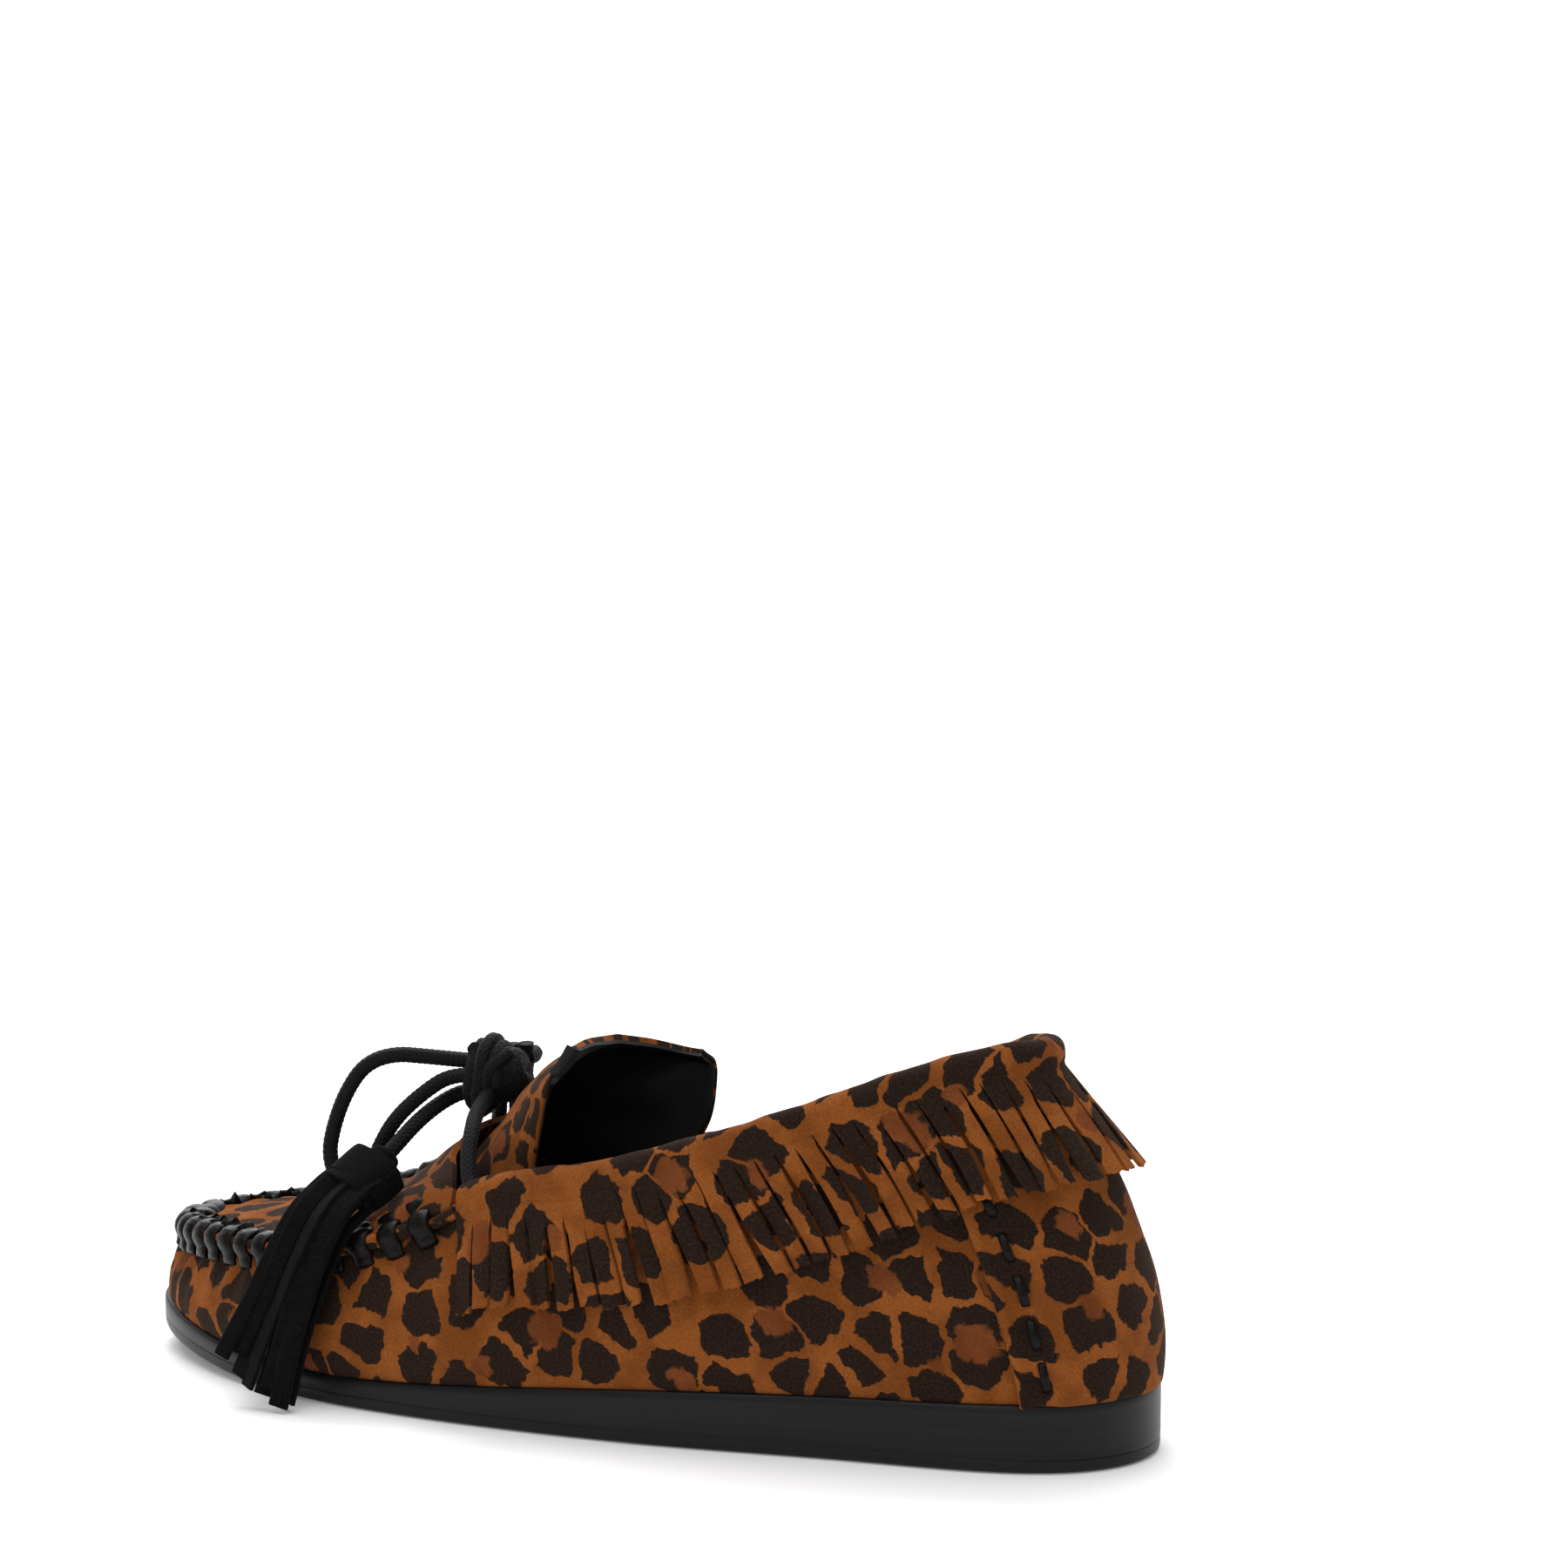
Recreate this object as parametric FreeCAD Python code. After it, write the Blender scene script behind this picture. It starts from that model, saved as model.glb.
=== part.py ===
import FreeCAD, Part
import math
import os

V = FreeCAD.Vector

# One left moccasin, in millimetres. Toe towards -Y, heel towards +Y, the outer side of the
# foot towards +X, ground at Z 0, origin under the middle of the sole's length.

# ---- Driving dimensions ----
SOLE_LENGTH = 262.0
HALF_LENGTH = SOLE_LENGTH / 2
TOE_SPRING = 5.7
FLAT_FROM = -50.0
TREAD_THICKNESS = 3.0
SUEDE = 1.4
LINING = 0.8
COUNTER = 0.7
COUNTER_GAP = 0.55
COUNTER_ROOM = 1.25
CORD_DIAMETER = 3.8
STITCH_PITCHES = [(-124.5, 6.8), (-90, 7.2), (-35, 9.0)]
STITCH_SLANT = 1.6
FRINGE_PITCH = 4.9
FRINGE_GAP = 0.45
BAND_DEPTH = 8.0
SKIN_GAP = 0.12

# Stations: (Y, value) pairs joined by one smooth curve.
SOLE_OUTER_HALF = [(-131, 38.3), (-85, 44.3), (-40, 44.4), (20, 41.4), (75, 33.5), (131, 32.5)]
SOLE_INNER_HALF = [(-131, 38.0), (-85, 42.0), (-45, 42.0), (15, 31.0), (75, 32.5), (131, 32.5)]
SOLE_CENTRE = [(-131, -4.0), (-85, -1.5), (-40, 0.0), (131, 0.0)]
SOLE_THICKNESS = [(-131, 7.6), (-60, 6.8), (30, 12.8), (131, 16.0)]
TOE_POWER = 2.9
HEEL_POWER = 6.2

# The upper's top edge: the moc seam in front, the top line under the folded collar behind.
TOP_FRONT = -124.5
TOP_BACK = 106.0
TOP_MIDDLE = (TOP_FRONT + TOP_BACK) / 2
TOP_HALF = (TOP_BACK - TOP_FRONT) / 2
TOP_OUTER_HALF = [(-124.5, 31), (-100, 35), (-80, 37), (-55, 36.5), (-30, 34), (0, 34.5),
                  (40, 34), (75, 30), (106, 26)]
TOP_INNER_HALF = [(-124.5, 31), (-100, 33.5), (-80, 33), (-55, 32.5), (-30, 33), (0, 34),
                  (40, 33), (75, 29.5), (106, 26)]
TOP_OUTER_Z = [(-124.5, 28.5), (-100, 30.5), (-80, 31.8), (-56, 35.5), (-44, 39.5), (-32, 44.5),
               (-24, 48.5), (7, 55.7), (60, 72.8), (84, 82), (97, 85.6), (106, 86.7)]
TOP_INNER_Z = [(-124.5, 28.5), (-100, 31.5), (-82, 35), (-70, 40), (-55, 45.5), (-40, 47.5),
               (-24, 46.5), (7, 51.5), (60, 68.0), (84, 79), (97, 84.6), (106, 86.7)]
TOP_TOE_POWER = 2.6
TOP_HEEL_POWER = 3.0
UPPER_INSET = 1.0
WALL_LEAN_POWER = 1.65
WALL_PUFF = [(-131, 0.3), (-90, 2.0), (131, 2.0)]
PUFF_SHAPE = 27 / 4  # brings the peak of s (1 - s)^2 to 1
DOME_POWER = 2.2
CREST = [(-124.5, 29), (-115, 32.5), (-100, 35.5), (-85, 38), (-70, 41), (-60, 45), (-53, 49.5),
         (-46, 54), (-38, 60.5), (-29, 68)]
PLUG_BACK_ANGLE = 99.8
COLLAR_FRONT_ANGLE = 98.6
PATCH_ANGLE = 33.0
PATCH_SPREAD = 4.5
PATCH_TOP = 0.75
PATCH_GAP = 0.22


# ---- Curves and surfaces of the last ----
def smooth(value, stations):
    """Smooth curve through (position, value) stations, held flat beyond the ends."""
    if value <= stations[0][0]:
        return stations[0][1]
    if value >= stations[-1][0]:
        return stations[-1][1]
    k = 0
    while value > stations[k + 1][0]:
        k += 1

    def slope(i):
        return (stations[i + 1][1] - stations[i][1]) / (stations[i + 1][0] - stations[i][0])

    def knot_slope(i):
        if i == 0:
            return slope(0)
        if i == len(stations) - 1:
            return slope(i - 1)
        before = stations[i][0] - stations[i - 1][0]
        after = stations[i + 1][0] - stations[i][0]
        return (slope(i - 1) * after + slope(i) * before) / (before + after)

    step = stations[k + 1][0] - stations[k][0]
    t = (value - stations[k][0]) / step
    low = (2 * t**3 - 3 * t**2 + 1) * stations[k][1] + (t**3 - 2 * t**2 + t) * step * knot_slope(k)
    high = (3 * t**2 - 2 * t**3) * stations[k + 1][1] + (t**3 - t**2) * step * knot_slope(k + 1)
    return low + high


def ring(angle, middle, half, outer, inner, powers):
    """Point of a foot-shaped outline: 0 degrees at the heel, 90 outer side, 180 toe."""
    a = math.radians(angle)
    y = middle + half * math.cos(a)
    power = powers[0] if math.cos(a) < 0 else powers[1]
    fullness = math.sqrt(max(0.0, 1 - abs(math.cos(a)) ** power))
    side = 1 if math.sin(a) >= 0 else -1
    width = smooth(y, outer if side > 0 else inner)
    return V(smooth(y, SOLE_CENTRE) + side * width * fullness, y, 0)


def sole_ring(angle, offset=0.0):
    def raw(a):
        return ring(a, 0, HALF_LENGTH, SOLE_OUTER_HALF, SOLE_INNER_HALF, (TOE_POWER, HEEL_POWER))

    along = raw(angle + 0.4) - raw(angle - 0.4)
    outward = V(-along.y, along.x, 0)
    outward.normalize()
    if outward.dot(raw(angle)) < 0:
        outward = outward * -1
    return raw(angle) + outward * offset


def tread_z(y):
    return TOE_SPRING * max((FLAT_FROM - y) / (HALF_LENGTH + FLAT_FROM), 0) ** 2


def sole_top(y):
    return tread_z(y) + smooth(y, SOLE_THICKNESS)


def top_edge(angle):
    point = ring(angle, TOP_MIDDLE, TOP_HALF, TOP_OUTER_HALF, TOP_INNER_HALF,
                 (TOP_TOE_POWER, TOP_HEEL_POWER))
    point.z = smooth(point.y, TOP_OUTER_Z if math.sin(math.radians(angle)) >= 0 else TOP_INNER_Z)
    return point


def wall(angle, s):
    """Outer face of the side wall: s is 0 at the sole and 1 at the top edge."""
    foot = sole_ring(angle, -UPPER_INSET)
    foot.z = sole_top(foot.y)
    outward = sole_ring(angle, 1) - sole_ring(angle, 0)
    lean = s ** WALL_LEAN_POWER
    puff = smooth(foot.y, WALL_PUFF) * PUFF_SHAPE * s * (1 - s) ** 2
    top = top_edge(angle)
    flat = foot * (1 - lean) + top * lean + outward * puff
    return V(flat.x, flat.y, foot.z + (top.z - foot.z) * s)


def wall_outward(angle):
    """Level outward direction of the upper's top edge."""
    along = top_edge(angle + 0.5) - top_edge(angle - 0.5)
    outward = V(-along.y, along.x, 0)
    outward.normalize()
    return outward if outward.dot(top_edge(angle) - V(0, 20, 0)) > 0 else outward * -1


def plug(angle, w):
    """Outer face of the apron between the seam at this angle (w 1) and its mirror (w -1)."""
    a = top_edge(angle)
    b = top_edge(360 - angle)
    chord = a * ((1 + w) / 2) + b * ((1 - w) / 2)
    middle = (a.z + b.z) / 2
    dome = smooth(a.y, CREST) - middle
    return V(chord.x, chord.y, chord.z + dome * (1 - abs(w) ** DOME_POWER))


TONGUE_ROWS = 6
TONGUE_CREST = [(-40, 54.4), (-32.5, 60.6), (-25, 69.8), (-17.5, 78.6), (-10, 84.0), (-3.5, 86.2)]
TONGUE_EDGE_OUT = [(-12, 43), (-9.5, 52), (-7.5, 61), (-5.5, 70), (-3.5, 77), (-1, 82.5)]
TONGUE_EDGE_IN = [(-4, 43), (2, 52), (7, 61), (8.5, 70), (8.5, 76), (7, 80)]
TONGUE_HALF = [26.0, 27.0, 27.8, 28.1, 27.4, 24.0]


def tongue_point(row, w):
    """Outer face of the tongue: a curled flap, w from -1 (inner side edge) to 1."""
    rise = math.cos(math.pi * w / 2)
    edge_y = (TONGUE_EDGE_OUT[row][0] * (1 + w) + TONGUE_EDGE_IN[row][0] * (1 - w)) / 2
    edge_z = (TONGUE_EDGE_OUT[row][1] * (1 + w) + TONGUE_EDGE_IN[row][1] * (1 - w)) / 2
    crest_y, crest_z = TONGUE_CREST[row]
    return V(TONGUE_HALF[row] * math.sin(math.pi * w / 2), edge_y + (crest_y - edge_y) * rise,
             edge_z + (crest_z - edge_z) * rise)


# ---- Solids from curves ----
def grid(rows, columns, point):
    return [[point(i / (rows - 1), j / (columns - 1)) for j in range(columns)]
            for i in range(rows)]


def offset(points, distance):
    """The same grid moved along its own normals; distance is a number or f(i, j)."""
    last_i = len(points) - 1
    last_j = len(points[0]) - 1
    moved = []
    for i, row in enumerate(points):
        moved_row = []
        for j, here in enumerate(row):
            along_i = points[min(i + 1, last_i)][j] - points[max(i - 1, 0)][j]
            along_j = row[min(j + 1, last_j)] - row[max(j - 1, 0)]
            normal = along_i.cross(along_j)
            normal.normalize()
            amount = distance(i, j) if callable(distance) else distance
            moved_row.append(here + normal * amount)
        moved.append(moved_row)
    return moved


def spline_face(points):
    surface = Part.BSplineSurface()
    surface.interpolate(points)
    return surface


def thin_solid(outer_points, inner_points):
    """Closed solid between two matching grids: two smooth faces and four ruled edges."""
    outer = spline_face(outer_points)
    inner = spline_face(inner_points)
    faces = [outer.toShape(), inner.toShape()]
    low_u, high_u, low_v, high_v = outer.bounds()
    in_low_u, in_high_u, in_low_v, in_high_v = inner.bounds()
    pairs = [(outer.uIso(low_u), inner.uIso(in_low_u)), (outer.uIso(high_u), inner.uIso(in_high_u)),
             (outer.vIso(low_v), inner.vIso(in_low_v)), (outer.vIso(high_v), inner.vIso(in_high_v))]
    for a, b in pairs:
        faces.append(Part.makeRuledSurface(a.toShape(), b.toShape()))
    return closed(faces)


def closed(faces):
    shell = Part.Shell(faces)
    shell.sewShape()
    solid = Part.Solid(shell)
    if solid.Volume < 0:
        solid.reverse()
    return solid


def skin(points, near, far):
    return thin_solid(offset(points, near), offset(points, far))


def rail_solid(sections):
    """Closed solid swept through matching plane sections: one ruled face per section side."""
    count = len(sections[0])
    rails = []
    for k in range(count):
        curve = Part.BSplineCurve()
        curve.interpolate([section[k] for section in sections])
        rails.append(curve.toShape())
    faces = [Part.makeRuledSurface(rails[k], rails[(k + 1) % count]) for k in range(count)]
    for section in (sections[0], sections[-1]):
        faces.append(Part.Face(Part.makePolygon(section + [section[0]])))
    return closed(faces)


def cap(corners):
    """End face of a loft: a ruled patch on four corners, a plane on more."""
    if len(corners) == 4:
        near = Part.makeLine(corners[0], corners[1])
        far = Part.makeLine(corners[3], corners[2])
        return Part.makeRuledSurface(near, far)
    return Part.Face(Part.makePolygon(corners + [corners[0]]))


def loft(sections):
    """Closed solid through matching sections, with one ruled face per side of each step."""
    faces = [cap(sections[0]), cap(sections[-1])]
    for a, b in zip(sections, sections[1:]):
        for k in range(len(a)):
            m = (k + 1) % len(a)
            faces.append(Part.makeRuledSurface(Part.makeLine(a[k], a[m]), Part.makeLine(b[k], b[m])))
    return closed(faces)


def slab(ring_offset, low, high, y_from=-HALF_LENGTH - 5, y_to=HALF_LENGTH + 5):
    """Layer of the sole: the outline, offset inwards, between two heights that vary with Y."""
    outline = Part.BSplineCurve()
    outline.interpolate([sole_ring(5 * k + 2.5, ring_offset) for k in range(72)], PeriodicFlag=True)
    floor = Part.Face(Part.Wire(outline.toShape()))
    floor.translate(V(0, 0, -5))
    prism = floor.extrude(V(0, 0, 60))
    edges = []
    for height in (low, high):
        for start, end in ((y_from, min(FLAT_FROM, y_to)), (max(FLAT_FROM, y_from), y_to)):
            if end > start:
                edges.append(height_edge(height, start, end))
    for y in (y_from, y_to):
        edges.append(Part.makeLine(V(-80, y, low(y)), V(-80, y, high(y))))
    profile = Part.Face(Part.Wire(Part.__sortEdges__(edges)))
    return prism.common(profile.extrude(V(160, 0, 0))).Solids[0]


def height_edge(height, start, end):
    """Side-view edge of a sole layer: a line where the heights are in line, else a curve."""
    steps = 24
    points = [V(-80, start + (end - start) * k / steps, 0) for k in range(steps + 1)]
    for point in points:
        point.z = height(point.y)
    if all(abs(p.z - points[0].z) < 1e-9 for p in points):
        return Part.makeLine(points[0], points[-1])
    curve = Part.BSplineCurve()
    curve.interpolate(points)
    return curve.toShape()


def tube(points, diameter, label=None):
    """Tube along straight runs joined by tangent arcs, as large as the two runs allow."""
    edges = []
    start = points[0]
    tightest = 1e9
    for k in range(1, len(points) - 1):
        here = points[k]
        back = points[k - 1] - here
        ahead = points[k + 1] - here
        turn = math.pi - back.getAngle(ahead)
        reach = 0.45 * min(back.Length, ahead.Length)
        radius = reach / math.tan(turn / 2)
        tightest = min(tightest, radius)
        back.normalize()
        ahead.normalize()
        enter = here + back * reach
        leave = here + ahead * reach
        centre_way = back + ahead
        centre_way.normalize()
        middle = here + centre_way * (radius / math.cos(turn / 2) - radius)
        edges.append(Part.LineSegment(start, enter).toShape())
        edges.append(Part.Arc(enter, middle, leave).toShape())
        start = leave
    edges.append(Part.LineSegment(start, points[-1]).toShape())
    path = Part.Wire(edges)
    first = points[1] - points[0]
    circle = Part.Wire(Part.Circle(points[0], first, diameter / 2).toShape())
    solid = path.makePipeShell([circle], True, False)
    if label:
        expected = math.pi * diameter**2 / 4 * path.Length
        print("%s: length %.1f, tightest radius %.1f, volume ratio %.4f"
              % (label, path.Length, tightest, solid.Volume / expected))
    return solid


def save(name, solids):
    """One STEP per node; repeated pieces are a group of separate solids."""
    shape = solids if isinstance(solids, Part.Shape) else Part.makeCompound(solids)
    for solid in shape.Solids:
        if not solid.isValid() or not solid.isClosed() or solid.Volume <= 0:
            print("PROBLEM", name, solid.isValid(), solid.isClosed(), solid.Volume)
    shape.exportStep(os.path.join("parts", name + ".step"))
    NODES[name] = shape


NODES = {}
os.makedirs("parts", exist_ok=True)

# ---- Sole: leather tread and a tapered wedge that thickens to the heel ----
save("outsole", slab(0.0, tread_z, lambda y: tread_z(y) + TREAD_THICKNESS))
save("sole_wedge", slab(0.0, lambda y: tread_z(y) + TREAD_THICKNESS, sole_top))

# ---- Inside the foot: lasting board, heel cushion and sock ----
BOARD = 1.8
PAD = 2.5
SOCK = 1.2
INSIDE = -(UPPER_INSET + SUEDE + COUNTER_ROOM + LINING + 0.7)
PAD_FRONT = 45.0
PAD_RAMP = 20.0


def board_top(y):
    return sole_top(y) + BOARD


def pad_rise(y):
    return PAD * (1 - math.cos(math.pi * min(max((y - PAD_FRONT) / PAD_RAMP, 0), 1))) / 2


save("insole_board", slab(INSIDE, sole_top, board_top))
save("heel_cushion", slab(INSIDE - 4, board_top, lambda y: board_top(y) + 0.2 + pad_rise(y),
                          y_from=PAD_FRONT))
save("sock_lining", slab(INSIDE - 0.3, lambda y: board_top(y) + 0.35 + pad_rise(y),
                         lambda y: board_top(y) + 0.35 + pad_rise(y) + SOCK))

# ---- Upper ----
SEAM_GAP = 0.7
WALL_ROWS = 145
WALL_COLUMNS = 8


def wall_grid(first, last, rows, low, high, columns):
    return grid(rows, columns, lambda u, v: wall(first + (last - first) * u,
                                                 low + (high - low) * v))


# Grids run from high angles to low ones and upwards, so their normals point out of the shoe.
side = wall_grid(360 - SEAM_GAP, SEAM_GAP, WALL_ROWS, 0, 1, WALL_COLUMNS)
save("side_wall", skin(side, 0, -SUEDE))

APRON_FRONT_ANGLE = 168.0
APRON_EDGE = 0.91
apron = grid(15, 11, lambda u, v: plug(APRON_FRONT_ANGLE + (PLUG_BACK_ANGLE - APRON_FRONT_ANGLE) * u,
                                       APRON_EDGE * (1 - 2 * v)))
save("apron", skin(apron, 0, -SUEDE))

VAMP_GAP = 1.2
VAMP_FRONT_ANGLE = 170.0
VAMP_SIDE = 0.3  # share of the lining's width that goes up each side wall


def vamp_inside(u, v):
    """Across the forefoot: up the outer wall, over the apron and down the inner wall."""
    angle = VAMP_FRONT_ANGLE + (PLUG_BACK_ANGLE + 9 - VAMP_FRONT_ANGLE) * u
    if v < VAMP_SIDE:
        return wall(angle, 0.1 + 0.85 * v / VAMP_SIDE)
    if v > 1 - VAMP_SIDE:
        return wall(360 - angle, 0.1 + 0.85 * (1 - v) / VAMP_SIDE)
    return plug(angle, 0.9 * (1 - 2 * (v - VAMP_SIDE) / (1 - 2 * VAMP_SIDE)))


forefoot = grid(13, 21, vamp_inside)
save("vamp_lining", skin(forefoot, -SUEDE - VAMP_GAP, -SUEDE - VAMP_GAP - LINING))

counter = wall_grid(50, -50, 51, 0.05, 0.6, 6)
save("heel_counter", skin(counter, -SUEDE - COUNTER_GAP, -SUEDE - COUNTER_GAP - COUNTER))


QUARTER_ROWS = 101
QUARTER_BELOW_TOP = 8.8


def quarter_point(u, v):
    """From near the sole up to just below the collar's inner leg."""
    angle = COLLAR_FRONT_ANGLE * (1 - 2 * u)
    top = 1 - QUARTER_BELOW_TOP / (wall(angle, 1).z - wall(angle, 0).z)
    return wall(angle, 0.08 + (top - 0.08) * v)


def quarter_depth(i, j):
    """The quarter lining steps in behind the heel counter, low down and round the heel."""
    across = abs(i / (QUARTER_ROWS - 1) * 2 - 1) * COLLAR_FRONT_ANGLE
    height = 0.08 + 0.8 * j / 8
    round_heel = min(max((66 - across) / 12, 0), 1)
    low_down = min(max((0.8 - height) / 0.15, 0), 1)
    return -SUEDE - 2 * SKIN_GAP - COUNTER_ROOM * round_heel * low_down


quarters = grid(QUARTER_ROWS, 9, quarter_point)
save("quarter_lining", thin_solid(offset(quarters, quarter_depth),
                                  offset(quarters, lambda i, j: quarter_depth(i, j) - LINING)))

patch = grid(51, 8, lambda u, v: wall((PATCH_ANGLE + PATCH_SPREAD * v) * (1 - 2 * u), PATCH_TOP * v))
save("heel_patch", skin(patch, PATCH_GAP, PATCH_GAP + SUEDE))

tongue_grid = grid(TONGUE_ROWS, 13, lambda u, v: tongue_point(round(u * (TONGUE_ROWS - 1)),
                                                              1 - 2 * v))
save("tongue", skin(tongue_grid, 0, -SUEDE))
save("tongue_lining", skin(tongue_grid, -SUEDE - SKIN_GAP, -SUEDE - SKIN_GAP - LINING))

# ---- Collar: one strip folded over the top line, with the lace running in the fold ----
LACE_LEVEL = 2.5
PACK_MIDDLE = -(SUEDE + LINING) / 2
FOLD_IN = 2.3
FOLD_OUT = 3.5
LEG_OUT = (0.5, 1.65)
LEG_IN = (-2.45, -3.6)
FOLD_ANGLES = (-35, 0, 45, 90, 135, 180, 215)


def collar_section(angle):
    top = wall(angle, 1)
    outward = wall_outward(angle)

    def at(n, up):
        """Point n outside the wall's outer face and up above (below, if negative) its edge."""
        slide = wall_at_depth(angle, -up, outward) if up < 0 else 0
        return top + outward * (n + slide) + V(0, 0, up)

    def fold(radius, degrees):
        a = math.radians(degrees)
        return at(PACK_MIDDLE + radius * math.cos(a), max(LACE_LEVEL + radius * math.sin(a), 0))

    outside = [at(LEG_OUT[1], -BAND_DEPTH), at(LEG_OUT[1], -BAND_DEPTH / 2)]
    outside += [fold(FOLD_OUT, d) for d in FOLD_ANGLES]
    outside += [at(LEG_IN[1], -3), at(LEG_IN[1], -8)]
    inside = [at(LEG_IN[0], -8), at(LEG_IN[0], -3)]
    inside += [fold(FOLD_IN, d) for d in reversed(FOLD_ANGLES)]
    inside += [at(LEG_OUT[0], -BAND_DEPTH / 2), at(LEG_OUT[0], -BAND_DEPTH)]
    return outside + inside


def wall_at_depth(angle, depth, outward):
    """How far out the wall's face is at this depth below its top edge."""
    top = wall(angle, 1)
    foot = wall(angle, 0)
    s = 1 - depth / (top.z - foot.z)
    return (wall(angle, max(s, 0)) - top).dot(outward)


COLLAR_STEPS = 60
collar_angles = [COLLAR_FRONT_ANGLE * (1 - 2 * k / COLLAR_STEPS) for k in range(COLLAR_STEPS + 1)]
save("collar_band", rail_solid([collar_section(a) for a in collar_angles]))

# ---- Fringe: the collar strip's outer leg, cut into strips below the band ----
# Depth of the strips' ends below the wall's top edge, and how far the ends stand off the wall.
FRINGE_DEPTH = [(-26.5, 20.5), (15, 24), (60, 23), (90, 22), (106, 21)]
FRINGE_FLARE = [(-26.5, 1.0), (60, 1.2), (88, 3.7), (106, 4.4)]


def collar_arc():
    """Angles spaced evenly along the band, one fringe pitch apart."""
    fine = [COLLAR_FRONT_ANGLE * (1 - k / 1000) for k in range(2001)]
    marks = [fine[0]]
    travelled = 0.0
    for a, b in zip(fine, fine[1:]):
        travelled += (wall(b, 0.8) - wall(a, 0.8)).Length
        if travelled >= FRINGE_PITCH:
            marks.append(b)
            travelled = 0.0
    return marks


def fringe_point(angle, n, fall):
    """Point on a strip: fall is 0 at the band's lower edge and 1 at the cut end."""
    top = wall(angle, 1)
    foot = wall(angle, 0)
    depth = BAND_DEPTH + (smooth(top.y, FRINGE_DEPTH) - BAND_DEPTH) * fall
    flare = smooth(top.y, FRINGE_FLARE) * fall
    return wall(angle, 1 - depth / (top.z - foot.z)) + wall_outward(angle) * (n + flare)


strips = []
marks = collar_arc()
for a, b in zip(marks, marks[1:]):
    trim = (a - b) * FRINGE_GAP / FRINGE_PITCH / 2
    quads = []
    for fall in (0, 0.5, 1):
        quads.append([fringe_point(a - trim, LEG_OUT[0], fall),
                      fringe_point(b + trim, LEG_OUT[0], fall),
                      fringe_point(b + trim, LEG_OUT[1], fall),
                      fringe_point(a - trim, LEG_OUT[1], fall)])
    strips.append(loft(quads))
save("fringe", strips)

# ---- Whipstitch over the moc seam ----
STITCH_START = 104.0
STITCH_WIDTH = 3.6
STITCH_THICKNESS = 1.2
STITCH_FOOT = 0.86
STITCH_LIFT = 0.9


def seam_stitch(angle, width_angle, slant):
    """One flat lace strip from the wall, over the seam, down onto the apron."""
    out = wall_outward(angle)
    sections = []
    for part in (-1, 1):
        a = angle + part * width_angle / 2
        on_wall = wall(a - slant, STITCH_FOOT) + out * 0.5
        seam = top_edge(a)
        inboard = inner_foot(a + slant)
        low = [on_wall, seam + out * 1.4 + V(0, 0, 0.6), seam - out * 1.4 + V(0, 0, 2.0), inboard]
        high = [on_wall + out * STITCH_THICKNESS, seam + out * 2.3 + V(0, 0, 1.5),
                seam - out * 1.2 + V(0, 0, 3.2), inboard + V(0, 0, STITCH_THICKNESS)]
        sections.append((low, high))
    (low_a, high_a), (low_b, high_b) = sections
    return loft([[low_a[k], low_b[k], high_b[k], high_a[k]] for k in range(4)])


def inner_foot(angle):
    """Underside of a stitch where it lands on the apron, 5.5 mm inside the seam."""
    if abs(angle - 180) < 13:
        return top_edge(angle) - wall_outward(angle) * 5.5 + V(0, 0, 3.0)
    side = 1 if angle < 180 else -1
    seam = max(angle if side > 0 else 360 - angle, 100)
    return plug(seam, side * 0.83) + V(0, 0, STITCH_LIFT)


stitches = []
angle = STITCH_START
while angle < 360 - STITCH_START:
    step = (top_edge(angle + 0.5) - top_edge(angle - 0.5)).Length
    slant = STITCH_SLANT / step * (1 if angle < 180 else -1)
    stitches.append(seam_stitch(angle, STITCH_WIDTH / step, slant))
    angle += smooth(top_edge(angle).y, STITCH_PITCHES) / step
save("moc_whipstitch", stitches)

# ---- Running-stitch lacing down each edge of the heel patch ----
LACING_ANGLE = 28.0
LACING_SPREAD = 3.6
LACING_DASHES = 6
LACING_LIFT = 0.1


def heel_lacing(sign):
    dashes = []
    for k in range(LACING_DASHES):
        low = 0.06 + 0.095 * k
        high = low + 0.065
        middle = sign * (LACING_ANGLE + LACING_SPREAD * low)
        face = wall_grid(middle + 0.9, middle - 0.9, 2, low, high, 2)
        inner = offset(face, SUEDE + 2 * SKIN_GAP + LACING_LIFT)
        outer = offset(face, SUEDE + 2 * SKIN_GAP + LACING_LIFT + 1.2)
        dashes.append(loft([[inner[0][0], inner[1][0], outer[1][0], outer[0][0]],
                            [inner[0][1], inner[1][1], outer[1][1], outer[0][1]]]))
    return dashes


save("heel_lacing_outer", heel_lacing(1))
save("heel_lacing_inner", heel_lacing(-1))

# ---- Lace: held in the collar's fold, rising from both collar ends to the knot ----
lace = []
for k in range(41):
    angle = (COLLAR_FRONT_ANGLE - 1.0) * (1 - 2 * k / 40)
    lace.append(wall(angle, 1) + wall_outward(angle) * PACK_MIDDLE + V(0, 0, LACE_LEVEL))
riser_outer = [V(2.5, -35.5, 71.5), V(8, -36.2, 68.3), V(15, -35, 65.6), V(22.5, -32.3, 62.6),
               V(28.3, -29.5, 58.0)]
riser_inner = [V(-28.8, -29.5, 58.0), V(-22.5, -32.0, 62.4), V(-15, -33.5, 64.4), V(-8, -34.2, 66.6),
               V(-2.5, -34.5, 70.2)]
save("collar_lace", tube(riser_outer + lace + riser_inner, CORD_DIAMETER, "collar_lace"))

# ---- Knot: three wraps side by side around a core ----
KNOT_CORE_Z = 73.0


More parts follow.
